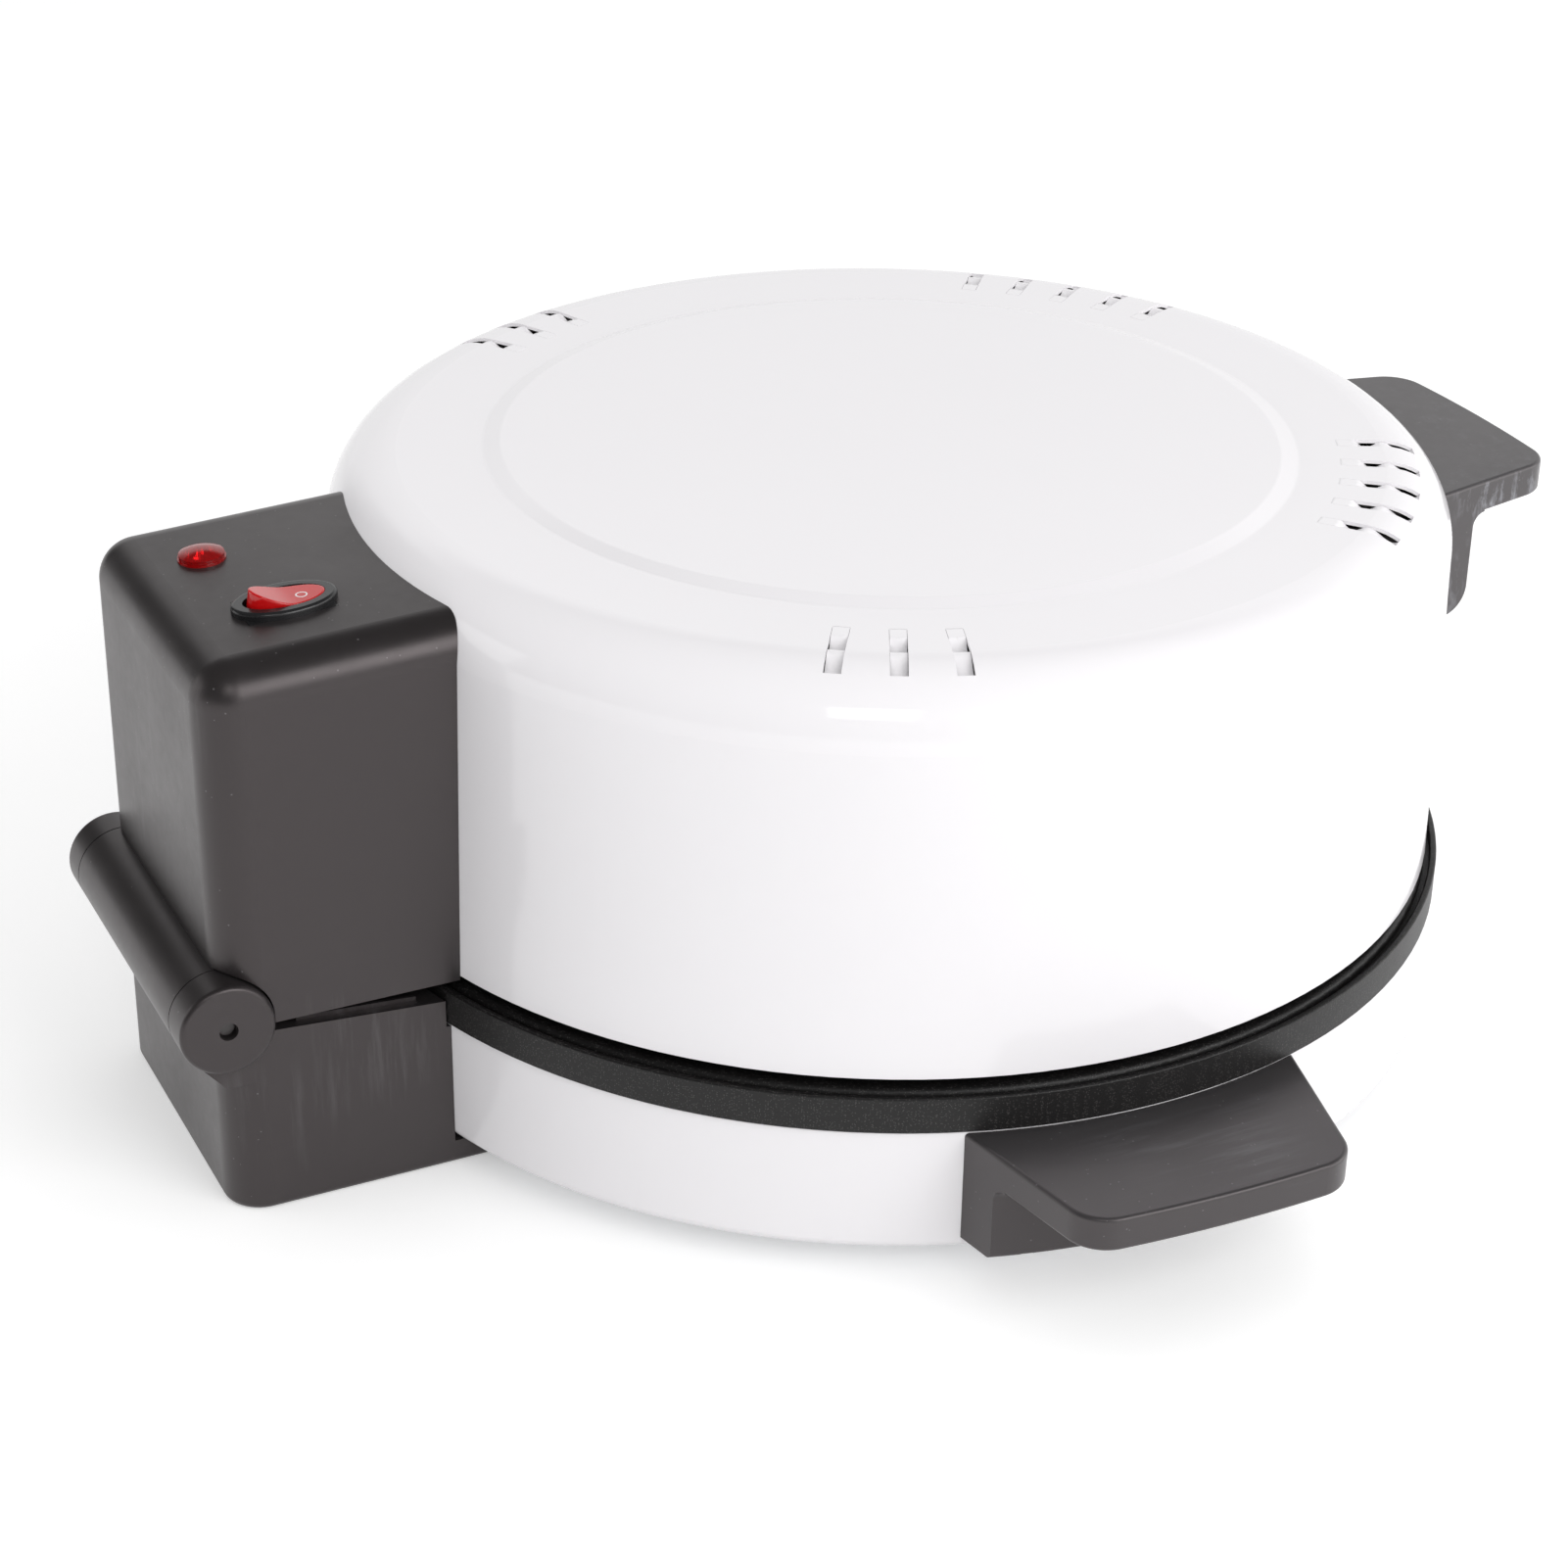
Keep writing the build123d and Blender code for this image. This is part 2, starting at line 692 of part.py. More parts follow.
def housing_boss(x, z, wall_radius, half_width):
    """Screw boss against a round wall, tied to the side wall by a rib."""
    y1 = boss_end(wall_radius)
    side = 1 if x > 0 else -1
    boss = along_y(housing_boss_radius, 0, y1, x, z)
    rib_end = side * (half_width - housing_wall / 2)
    boss += block(min(x, rib_end), max(x, rib_end), 0, y1, z - housing_rib_thickness / 2,
                  z + housing_rib_thickness / 2)
    end = housing_boss_radius + overrun
    return boss - upright(wall_radius + seat_clearance, z - end, z + end)


def lower_boss(x, z):
    """Screw boss of the lower housing."""
    return housing_boss(x, z, drum_radius, lower_half_width)


def lower_lip(side):
    """Low rib on the sloping top, just inside the edge."""
    x1 = side * (lower_half_width - lip_inset)
    x0 = x1 - side * lip_width
    y0, y1 = lip_start_y, lip_end_y
    z0, z1 = lower_top_z(y0), lower_top_z(y1)
    rib = across([(y0, z0 - lip_root), (y1, z1 - lip_root), (y1, z1 + lip_height), (y0, z0 + lip_height)],
                 lower_half_width)
    return rib & block(min(x0, x1), max(x0, x1), y0, y1, 0, upper_bottom_z)


def lower_housing_cover():
    """Plate that closes the bottom of the lower housing."""
    gap = housing_wall + housing_cover_gap
    z0 = housing_cover_recess
    slab = lower_block(gap, z0) & block(-lower_half_width, lower_half_width, 0, lower_back_y, z0,
                                        z0 + housing_cover_thickness)
    return slab


def cord_bushing():
    """Flanged rubber bushing in the right side of the lower housing."""
    x = lower_half_width
    body = along_x(bushing_radius, x - bushing_tail, x, bushing_y, bushing_z)
    flange = along_x(bushing_flange_radius, x, x + bushing_flange, bushing_y, bushing_z)
    body += fillet(flange.edges().filter_by(GeomType.CIRCLE).sort_by(Axis.X)[-1], bushing_flange_rounding)
    start, end = x - bushing_tail - overrun, x + bushing_flange + overrun
    return body - along_x(bushing_bore, start, end, bushing_y, bushing_z)


def terminal_block():
    """Ceramic terminal block on the cover of the lower housing."""
    w, d, h = block_size
    z0 = housing_cover_recess + housing_cover_thickness
    body = block(-w / 2, w / 2, block_y - d / 2, block_y + d / 2, z0, z0 + h)
    for i in range(block_ways):
        x = (i - (block_ways - 1) / 2) * w / block_ways
        body -= along_y(block_way_radius, block_y - d, block_y + d, x, z0 + block_way_height)
    return body


def hinge_pin():
    """Steel pin through the ears and the barrel."""
    end = ear_end - pin_recess
    return along_x(pin_radius, -end, end, hinge_axis_y, hinge_axis_z)


# Lid

def lid_wall_radius(z):
    """Outer radius of the lid's wall, which narrows a little towards the top."""
    return lid_radius - (z - lid_edge_z) * math.tan(math.radians(lid_draft))


def lid_inner_seat(z):
    """Inner radius of the lid's wall at the upper edge of a screw head."""
    return lid_wall_radius(z + screw_head_radius) - lid_wall


def lid_form(offset, bottom_z):
    """Filled form of the lid drawn in by an offset: tapered wall, rounded shoulder, raised plateau."""
    z = lid_top_z - offset
    side = offset / math.cos(math.radians(lid_draft))
    foot = plateau_radius - offset * math.tan(math.atan2(plateau_rise, plateau_band) / 2)
    rise = z + plateau_rise
    return turned([(0, bottom_z), (lid_wall_radius(bottom_z) - side, bottom_z),
                   (lid_wall_radius(z) - side, z, lid_corner_radius - offset),
                   (foot, z, plateau_rounding), (foot - plateau_band, rise, plateau_rounding), (0, rise)])


def slot_angles():
    """Directions of the vent slots, in one group on each side in front and one on each side at the back."""
    groups = ((front_slot_angle, front_slot_count), (back_slot_angle, back_slot_count))
    return [side * (middle + (i - (count - 1) / 2) * slot_pitch)
            for middle, count in groups for side in (-1, 1) for i in range(count)]


def shoulder_z(radius):
    """Height of the lid's outer surface near its shoulder."""
    r = lid_corner_radius
    centre = lid_wall_radius(lid_top_z - r) - r
    return lid_top_z - r + math.sqrt(r ** 2 - max(radius - centre, 0.0) ** 2)


def slot_strip():
    """Strip of metal left in a vent slot, joined at both ends and pushed down at two places."""
    dips = [(slot_inner_radius - strip_root, 0.0), (slot_outer_radius + strip_root, 0.0)]
    dips[1:1] = [(slot_inner_radius + share * slot_length, depth)
                 for share, depth in zip(strip_dip_places, strip_dips)]
    top = [(-radius, shoulder_z(radius) - dip) for radius, dip in dips]
    under = [(y, z - lid_wall) for y, z in top]
    outline = [Spline(*top), Line(top[-1], under[-1]), Spline(*reversed(under)), Line(under[0], top[0])]
    return extrude(Plane.YZ * make_face([line.edge() for line in outline]),
                   slot_width / 2 - strip_side_gap, both=True)


def lid_shell():
    """Drawn steel lid with four groups of lanced vent slots over its shoulder."""
    shell = lid_form(0.0, lid_edge_z) - lid_form(lid_wall, lid_edge_z - overrun)
    slot = block(-slot_width / 2, slot_width / 2, -slot_outer_radius, -slot_inner_radius,
                 lid_top_z - slot_depth, lid_top_z + overrun)
    strip = slot_strip()
    shell -= [facing(slot, angle) for angle in slot_angles()]
    shell += [facing(strip, angle) for angle in slot_angles()]
    shell -= screw_holes(handle_screw_places(lid_grip_top_z))
    shell -= [facing(hole, 180) for hole in screw_holes(upper_screw_places())]
    return shell - leg_passages(upper_element_z, lid_radius)


def lid_liner():
    """Inner lid that reflects the heat, with a flange out to the lid wall."""
    r, z1, w = liner_radius, liner_top_z, liner_wall
    z0 = lid_edge_z + liner_flange_lift
    cup = turned([(0, z0), (r, z0), (r, z1, liner_corner_radius), (0, z1)])
    cup += upright(lid_radius - lid_wall - liner_fit, z0, z0 + w)
    low = z0 - overrun
    cup -= turned([(0, low), (r - w, low), (r - w, z1 - w, liner_corner_radius - w), (0, z1 - w)])
    return cup - leg_passages(upper_element_z, r)


# Upper hinge housing

def panel_z(y):
    """Height of the top panel of the upper housing, which slopes down towards the back."""
    return upper_top_z - (y - lid_radius) * math.tan(math.radians(upper_top_slope))


def on_panel(x, y):
    """Place on the top panel, with Z square to it."""
    return Pos(x, y, panel_z(y)) * Rot(-upper_top_slope, 0, 0)


def upper_block(inset, bottom_z):
    """Body of the upper housing drawn in by a wall, rounded at the back corners and the top."""
    front, back = lid_radius / 2, upper_back_y - inset
    drop = inset / math.cos(math.radians(upper_top_slope))
    body = across([(front, bottom_z), (back, bottom_z), (back, panel_z(back) - drop),
                   (front, panel_z(front) - drop)], upper_half_width - inset)
    body = fillet(body.edges().filter_by(Axis.Z).sort_by(Axis.Y)[-2:], upper_corner_radius - inset)
    rim = [e for e in body.faces().sort_by(Axis.Z)[-1].edges() if e.center().Y > front + overrun]
    return fillet(rim, upper_top_radius - inset)


def panel_cutters():
    """Holes in the top panel for the lamp and the switch."""
    z0 = -2 * housing_wall
    length, width = switch_body_half_length + switch_fit, switch_body_half_width + switch_fit
    return [on_panel(lamp_x, lamp_y) * upright(lamp_body_radius + lamp_fit, z0, overrun),
            on_panel(switch_x, switch_y) * block(-width, width, -length, length, z0, overrun)]


def upper_hinge_housing():
    """Moulded upper housing that fits the dome, with the hinge barrel along its lower back edge."""
    dome = lid_form(-seat_clearance, 0.0)
    body = upper_block(0.0, upper_bottom_z)
    body -= upper_block(housing_wall, upper_bottom_z - overrun)
    body += [housing_boss(x, z, lid_wall_radius(z), upper_half_width) for x, z in upper_screw_places()]
    body -= dome
    y, z, length = hinge_axis_y, hinge_axis_z, barrel_half_length
    body -= [along_x(barrel_radius + knuckle_clearance, side * length, side * (ear_end + overrun), y, z)
             for side in (-1, 1)]
    body += along_x(barrel_radius, -length, length, y, z)
    body -= along_x(pin_radius + pin_clearance, -length - overrun, length + overrun, y, z)
    for x, height in upper_screw_places():
        depth = boss_end(lid_wall_radius(height)) - boss_floor
        body -= [facing(hole, 180) for hole in screw_holes([(x, height)], depth)]
    return body - panel_cutters()


def upper_housing_cover():
    """Plate that closes the bottom of the upper housing in front of the barrel."""
    gap = housing_wall + housing_cover_gap
    half = upper_half_width - gap
    z0 = upper_bottom_z + housing_cover_recess
    back = hinge_axis_y - barrel_radius - knuckle_clearance
    slab = block(-half, half, 0, back, z0, z0 + housing_cover_thickness)
    wall = upright(lid_radius + housing_cover_gap, z0 - overrun, z0 + housing_cover_thickness + overrun)
    return slab - wall


# Lamp and switch

def lamp_lens():
    """Low domed red lens with a stem into its holder."""
    z0 = lamp_flange_height
    cap_rise = lamp_rise - lamp_edge_height
    sphere = (lamp_radius ** 2 + cap_rise ** 2) / (2 * cap_rise)
    edge = z0 + lamp_edge_height
    cap = Cylinder(lamp_radius, lamp_rise, align=(Align.CENTER, Align.CENTER, Align.MIN))
    cap = Pos(0, 0, z0) * cap & Pos(0, 0, edge + cap_rise - sphere) * Sphere(sphere)
    lens = cap + upright(lamp_stem_radius, z0 - lamp_stem_length, z0 + lamp_edge_height / 2)
    return on_panel(lamp_x, lamp_y) * lens


def lamp_holder():
    """Flanged cup that holds the lens, through the top panel."""
    cup = upright(lamp_body_radius, -lamp_body_length, 0) + upright(lamp_flange_radius, 0, lamp_flange_height)
    cup -= upright(lamp_stem_radius + lamp_fit, lamp_flange_height - lamp_stem_length - lamp_fit, overrun)
    return on_panel(lamp_x, lamp_y) * cup


def lamp_nut():
    """Thin hexagonal nut under the top panel."""
    nut = extrude(RegularPolygon(lamp_nut_radius, 6), lamp_nut_height)
    nut -= upright(lamp_body_radius + lamp_fit, -overrun, lamp_nut_height + overrun)
    return on_panel(lamp_x, lamp_y) * Pos(0, 0, -housing_wall - lamp_nut_height) * nut


def switch_body():
    """Oval raised bezel over a box body that is open for the rocker."""
    bezel = extrude(Ellipse(bezel_half_width, bezel_half_length), bezel_height)
    bezel = fillet(bezel.faces().sort_by(Axis.Z)[-1].edges(), bezel_fillet)
    body = bezel + block(-switch_body_half_width, switch_body_half_width, -switch_body_half_length,
                         switch_body_half_length, -switch_body_depth, 0)
    opening = Ellipse(rocker_half_width + rocker_side_clearance, rocker_half_length + rocker_end_clearance)
    well = switch_floor - switch_body_depth
    body -= Pos(0, 0, well) * extrude(opening, bezel_height + overrun - well)
    pin_end = rocker_half_width + rocker_pin_reach + rocker_pin_clearance
    body -= along_x(rocker_pin_radius + rocker_pin_clearance, -pin_end, pin_end, 0, -rocker_pivot_depth)
    return on_panel(switch_x, switch_y) * body


def rocker():
    """Rocker at rest with its front end pressed in, level with the bezel, and its back end raised."""
    half_throw = rocker_throw / 2
    length, skirt = rocker_half_length, rocker_skirt
    rise = length * math.tan(math.radians(half_throw))
    middle = bezel_height + rocker_pivot_depth + rocker_face_rise - rise / 2
    end = middle + rise
    profile = across([(-length, -skirt / 2), (-length / 2, -skirt), (length / 2, -skirt),
                      (length, -skirt / 2), (length, end), (0, middle), (-length, end)], rocker_half_width)
    plan = extrude(Ellipse(rocker_half_width, rocker_half_length), length, both=True)
    body = profile & plan & along_x(length, -length, length, 0, 0)
    pin = rocker_half_width + rocker_pin_reach
    body += along_x(rocker_pin_radius, -pin, pin, 0, 0)
    return on_panel(switch_x, switch_y) * Pos(0, 0, -rocker_pivot_depth) * Rot(half_throw, 0, 0) * body


def switch_blades():
    """Brass blades under the switch body."""
    t, w, h = switch_blade
    z1 = -switch_body_depth
    blades = [block(-w / 2, w / 2, y - t / 2, y + t / 2, z1 - h, z1)
              for y in (-switch_blade_spacing, 0, switch_blade_spacing)]
    return [on_panel(switch_x, switch_y) * blade for blade in blades]


def save(name, solids):
    """Write one node."""
    shape = Compound(children=list(solids)) if isinstance(solids, (list, tuple)) else solids
    export_step(shape, f"parts/{name}.step")


def write_base():
    """Nodes of the body that stands on the counter."""
    save("base_shell", base_shell())
    save("bottom_cover", bottom_cover())
    for i, angle in enumerate(foot_angles):
        save(f"foot_{i + 1}", rubber_foot(angle))
    save("foot_screws", [foot_screw(angle) for angle in foot_angles])
    save("baking_plate", baking_plate())
    save("lower_reflector", lower_reflector())
    save("lower_element", heating_element(lower_element_z, drum_radius))
    save("lower_element_insulators", element_insulators(lower_element_z, drum_radius))
    save("lower_element_terminals", element_terminals(lower_element_z, drum_radius))
    save("element_clamps", [element_clamp(angle) for angle in clamp_angles])
    save("thermostat", thermostat())
    save("lower_hinge_housing", lower_hinge_housing())
    save("lower_housing_cover", lower_housing_cover())
    save("lower_housing_screws", [facing(wall_screw(drum_radius - drum_wall, x, z, housing_screw_length), 180)
                                  for x, z in lower_screw_places()])
    save("terminal_block", terminal_block())
    save("cord_bushing", cord_bushing())
    save("hinge_pin", hinge_pin())
    side_handle = base_handle()
    side_screws = handle_screws(drum_radius - drum_wall, base_grip_top_z)
    save("base_handle_left", facing(side_handle, -side_handle_angle))
    save("base_handle_right", facing(side_handle, side_handle_angle))
    save("base_handle_screws", [facing(screw, side * side_handle_angle)
                                for side in (-1, 1) for screw in side_screws])


def write_lid():
    """Nodes of the lid and of the rocker that it carries."""
    save("lid_shell", lid_shell())
    save("lid_liner", lid_liner())
    save("upper_element", heating_element(upper_element_z, lid_radius))
    save("upper_element_insulators", element_insulators(upper_element_z, lid_radius))
    save("upper_element_terminals", element_terminals(upper_element_z, lid_radius))
    save("element_brackets", [element_bracket(angle) for angle in clamp_angles])
    save("upper_hinge_housing", upper_hinge_housing())
    save("upper_housing_cover", upper_housing_cover())
    save("upper_housing_screws", [facing(wall_screw(lid_inner_seat(z), x, z, housing_screw_length), 180)
                                  for x, z in upper_screw_places()])
    save("lid_handle", lid_handle())
    seat = lid_inner_seat(lid_grip_top_z - handle_screw_drop)
    save("lid_handle_screws", handle_screws(seat, lid_grip_top_z))
    save("lamp_lens", lamp_lens())
    save("lamp_holder", lamp_holder())
    save("lamp_nut", lamp_nut())
    save("switch_body", switch_body())
    save("switch_blades", switch_blades())
    save("rocker", rocker())


os.makedirs("parts", exist_ok=True)
write_base()
write_lid()
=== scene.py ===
# %% [markdown]
# # A round electric pizza maker, dressed for a studio picture
# The machine is a white enamelled steel dome on a rear hinge, over a black
# non-stick plate in a low white drum. Its handles and hinge housings are
# moulded black plastic. The shapes come ready made from the mechanical model.
# This notebook gives each of them its real finish and draws two of them again:
# the lid, whose vent strips leave the sheet level, and the rocker, with its
# soft valley and its printed mark.

# %% Load the mechanical model
import json
import math
import bmesh
import bpy
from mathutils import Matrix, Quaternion, Vector


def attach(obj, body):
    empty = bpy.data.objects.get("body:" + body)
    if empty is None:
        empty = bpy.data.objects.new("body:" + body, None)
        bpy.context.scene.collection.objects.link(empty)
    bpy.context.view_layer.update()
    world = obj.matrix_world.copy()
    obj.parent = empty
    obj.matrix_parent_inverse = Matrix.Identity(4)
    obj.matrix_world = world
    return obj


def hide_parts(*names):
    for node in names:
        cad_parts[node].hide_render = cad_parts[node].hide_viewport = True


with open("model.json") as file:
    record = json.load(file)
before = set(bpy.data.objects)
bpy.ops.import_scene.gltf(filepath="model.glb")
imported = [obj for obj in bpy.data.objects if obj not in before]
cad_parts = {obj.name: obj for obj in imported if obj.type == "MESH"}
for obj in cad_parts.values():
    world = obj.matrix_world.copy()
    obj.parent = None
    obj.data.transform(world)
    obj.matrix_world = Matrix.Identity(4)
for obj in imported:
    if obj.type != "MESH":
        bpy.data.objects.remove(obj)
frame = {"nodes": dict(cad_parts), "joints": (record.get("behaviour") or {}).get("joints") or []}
nodes = frame["nodes"]
joint_place = {joint["name"]: Vector(joint["pos_m"]) for joint in frame["joints"]}
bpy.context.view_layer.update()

# %% [markdown]
# ## The camera
# A product picture is easiest to compare when the camera stands where the
# photographer stood. Its place, its lens and its small roll were worked out
# from the rims of the lid, the plate and the drum, which are true circles on
# the machine and ellipses in the picture. It could also be set by eye, but a
# few degrees of error would already shift every edge.

# %% Place the camera
camera_place = Vector((-0.8106, 0.4326, 0.5469))
camera_aim = Vector((0.0127, 0.0257, 0.0607))
camera_roll = math.radians(0.893)
lens_millimetres, sensor_millimetres = 79.30, 36.0
nearest, farthest = 0.01, 50.0
camera_data = bpy.data.cameras.new("camera")
camera_data.lens = lens_millimetres
camera_data.sensor_width = sensor_millimetres
camera_data.clip_start, camera_data.clip_end = nearest, farthest
camera = bpy.data.objects.new("camera", camera_data)
bpy.context.scene.collection.objects.link(camera)
camera.rotation_mode = "QUATERNION"
camera.location = camera_place
looking = (camera_aim - camera_place).to_track_quat("-Z", "Y")
camera.rotation_quaternion = looking @ Quaternion((0, 0, 1), camera_roll)
bpy.context.scene.camera = camera
bpy.context.scene.view_settings.view_transform = "Standard"
print("camera at", [round(v, 3) for v in camera.location])

# %% [markdown]
# ## Small helpers for shader nodes
# Each finish is a little graph of nodes. It could be drawn by hand in the
# shader editor, but in code each number is easy to find and change. A few
# helpers keep the graphs short: the first two add a node and feed its inputs,
# and the others stand for the nodes that come up most often.

# %% Node helpers
# A Mix node repeats the names of its sockets for each kind of value, so they
# are reached by number.
MIX_SHARE = 0
NUMBER_A, NUMBER_B, NUMBER_OUT = 2, 3, 0
COLOUR_A, COLOUR_B, COLOUR_OUT = 6, 7, 2


def feed(tree, value, socket):
    """Joins a socket to another node's output, or sets it to a plain value."""
    if isinstance(value, bpy.types.NodeSocket):
        tree.links.new(value, socket)
    else:
        socket.default_value = value


def add_node(tree, kind, inputs=None, **settings):
    """Adds a shader node, sets its properties, then feeds its inputs."""
    node = tree.nodes.new(kind)
    for name, value in settings.items():
        setattr(node, name, value)
    for name, value in (inputs or {}).items():
        feed(tree, value, node.inputs[name])
    return node


def calculate(tree, operation, first, second):
    """A Math node. Gives its result as an output socket."""
    return add_node(tree, "ShaderNodeMath", {0: first, 1: second}, operation=operation).outputs[0]


def remap(tree, value, low, high, first=0.0, last=1.0, **settings):
    """Maps a value from the range low to high to the range first to last."""
    inputs = {"Value": value, "From Min": low, "From Max": high, "To Min": first, "To Max": last}
    return add_node(tree, "ShaderNodeMapRange", inputs, **settings).outputs["Result"]


print("node helpers ready")

# %% [markdown]
# ## Helpers for effects
# An effect that several finishes share is a node group: it is built once, has
# named inputs, and each material places it with its own values. The patterns
# are laid out in the object's own space, in metres, so they need no unwrapping
# and keep their size on every piece.

# %% Group helpers
def new_group(name, inputs, output):
    """An empty node group, the sockets of its inputs and the socket of its one output."""
    group = bpy.data.node_groups.new(name, "ShaderNodeTree")
    for socket, value in inputs.items():
        kind = "NodeSocketVector" if isinstance(value, tuple) else "NodeSocketFloat"
        group.interface.new_socket(name=socket, in_out="INPUT", socket_type=kind).default_value = value
    group.interface.new_socket(name=output, in_out="OUTPUT", socket_type="NodeSocketFloat")
    start = group.nodes.new("NodeGroupInput")
    end = group.nodes.new("NodeGroupOutput")
    return group, start.outputs, end.inputs[output]


def place_group(tree, group, values):
    """Puts a group into a material and gives its output."""
    return add_node(tree, "ShaderNodeGroup", values, node_tree=group).outputs[0]


def object_place(tree):
    """The place of each point in its object's own space."""
    return add_node(tree, "ShaderNodeTexCoord").outputs["Object"]


def add_noise(tree, place, scale, detail, roughness=0.5):
    """A noise pattern with values round one half."""
    inputs = {"Vector": place, "Scale": scale, "Detail": detail, "Roughness": roughness}
    return add_node(tree, "ShaderNodeTexNoise", inputs).outputs["Fac"]


def multiply_vectors(tree, first, second):
    """Two vectors multiplied axis by axis."""
    inputs = {0: first, 1: second}
    return add_node(tree, "ShaderNodeVectorMath", inputs, operation="MULTIPLY").outputs[0]


def mix_numbers(tree, share, first, second):
    """The first value, with a share of the second one in it."""
    inputs = {MIX_SHARE: share, NUMBER_A: first, NUMBER_B: second}
    return add_node(tree, "ShaderNodeMix", inputs, data_type="FLOAT").outputs[NUMBER_OUT]


print("group helpers ready")

# %% [markdown]
# ## Effect: soft mottling
# No real surface has one flat colour. Paint thickens a little here and there,
# and plastic cools unevenly in its mould. The effect is two noise patterns of
# different sizes mixed together, and a finish uses it to tint its colour or
# its roughness by a few percent.

# %% Group: mottling
def make_mottling():
    """Broad and fine noise mixed into one value between 0 and 1."""
    group, given, out = new_group(
        "mottling", {"Broad Scale": 8.0, "Fine Scale": 90.0, "Fine Share": 0.4}, "Value")
    place = object_place(group)
    broad = add_noise(group, place, given["Broad Scale"], detail=3.0, roughness=0.55)
    fine = add_noise(group, place, given["Fine Scale"], detail=4.0, roughness=0.6)
    feed(group, mix_numbers(group, given["Fine Share"], broad, fine), out)
    return group


mottling = make_mottling()
print("group:", mottling.name)

# %% [markdown]
# ## Effect: fine specks
# Black plastic in a studio always shows a few pale specks of dust, and the
# non-stick coat has tiny bright flakes in it. Both are the same trick: cells
# of a Voronoi pattern, of which only the small middles are kept, and only in
# some cells. The random value of each cell decides whether it has a speck.

# %% Group: specks
def make_specks():
    """Small round dots, one in some of the cells of a Voronoi pattern."""
    group, given, out = new_group("specks", {"Scale": 400.0, "Size": 0.18, "Share": 0.25}, "Mask")
    cells = add_node(group, "ShaderNodeTexVoronoi",
                     {"Vector": object_place(group), "Scale": given["Scale"]}, feature="F1").outputs
    in_middle = calculate(group, "LESS_THAN", cells["Distance"], given["Size"])
    random_value = add_node(group, "ShaderNodeSeparateColor", {0: cells["Color"]}).outputs[0]
    chosen = calculate(group, "LESS_THAN", random_value, given["Share"])
    feed(group, calculate(group, "MULTIPLY", in_middle, chosen), out)
    return group


specks = make_specks()
print("group:", specks.name)

# %% [markdown]
# ## Effect: scuffs
# A used handle has faint pale streaks where hands and boxes rubbed it. The
# streaks are a noise pattern stretched along one direction, kept only where a
# second, broad noise is high, so that they come in patches as they do on the
# real piece.

# %% Group: scuffs
faintest_streak, full_patch = 0.5, 0.72


def make_scuffs():
    """Stretched streaks that come in patches."""
    group, given, out = new_group(
        "scuffs",
        {"Stretch": (1.0, 0.08, 1.0), "Scale": 220.0, "Patch Scale": 14.0, "Cut": 0.56, "Full": 0.75},
        "Mask")
    place = object_place(group)
    stretched = multiply_vectors(group, place, given["Stretch"])
    streaks = add_noise(group, stretched, given["Scale"], detail=5.0, roughness=0.7)
    patches = add_noise(group, place, given["Patch Scale"], detail=2.0)
    strength = remap(group, streaks, faintest_streak, given["Full"])
    in_patch = remap(group, patches, given["Cut"], full_patch)
    feed(group, calculate(group, "MULTIPLY", in_patch, strength), out)
    return group


scuffs = make_scuffs()
print("group:", scuffs.name)

# %% [markdown]
# ## Effect: fine relief
# Stoved paint has a very slight orange peel, and moulded plastic carries the
# spark-eroded texture of its mould. Real geometry this fine would be far too
# heavy, so a noise height goes into a Bump node in each material. Only the
# height comes from here, because how deep it is differs between finishes.

# %% Group: relief
def make_relief():
    """A height made of coarse waves and fine grain."""
    group, given, out = new_group(
        "relief", {"Wave Scale": 60.0, "Grain Scale": 900.0, "Grain Share": 0.5}, "Height")
    place = object_place(group)
    waves = add_noise(group, place, given["Wave Scale"], detail=1.0)
    grain = add_noise(group, place, given["Grain Scale"], detail=2.0)
    feed(group, mix_numbers(group, given["Grain Share"], waves, grain), out)
    return group


relief = make_relief()
print("group:", relief.name)

# %% [markdown]
# ## Effect: turning marks
# The plate, the reflector and the inner lid are spun or turned, which leaves
# fine rings round the machine's axis. A wave pattern would make them too even.
# So the distance from the axis drives a noise, and the same random bands run
# all the way round.

# %% Group: turning marks
level_only = (1.0, 1.0, 0.0)


def make_turning():
    """Rings round the vertical axis, as a value between 0 and 1."""
    group, given, out = new_group("turning_marks", {"Rings": 900.0}, "Value")
    flat = multiply_vectors(group, object_place(group), level_only)
    radius = add_node(group, "ShaderNodeVectorMath", {0: flat}, operation="LENGTH")
    inputs = {"W": radius.outputs["Value"], "Scale": given["Rings"], "Detail": 3.0, "Roughness": 0.7}
    bands = add_node(group, "ShaderNodeTexNoise", inputs, noise_dimensions="1D")
    feed(group, bands.outputs["Fac"], out)
    return group


turning_marks = make_turning()
print("group:", turning_marks.name)

# %% [markdown]
# ## A start for every finish
# All finishes begin with the same two nodes, a Principled shader and the
# material's output. The first helper makes them and sets the plain numbers
# straight on the shader, where other programs can read them too. The others
# let a pattern drive the colour, the roughness or the relief.

# %% Material helpers
# Most values of the noises lie in this span.
noise_low, noise_high = 0.3, 0.7


def new_finish(name, colour, roughness, **values):
    """A material, its node tree and the sockets of its Principled shader, with plain values set."""
    material = bpy.data.materials.new(name)
    material.use_nodes = True
    tree = material.node_tree
    skin = tree.nodes["Principled BSDF"].inputs
    skin["Base Color"].default_value = (*colour, 1.0)
    skin["Roughness"].default_value = roughness
    for key, value in values.items():
        skin[key.replace("_", " ")].default_value = value
    return material, tree, skin


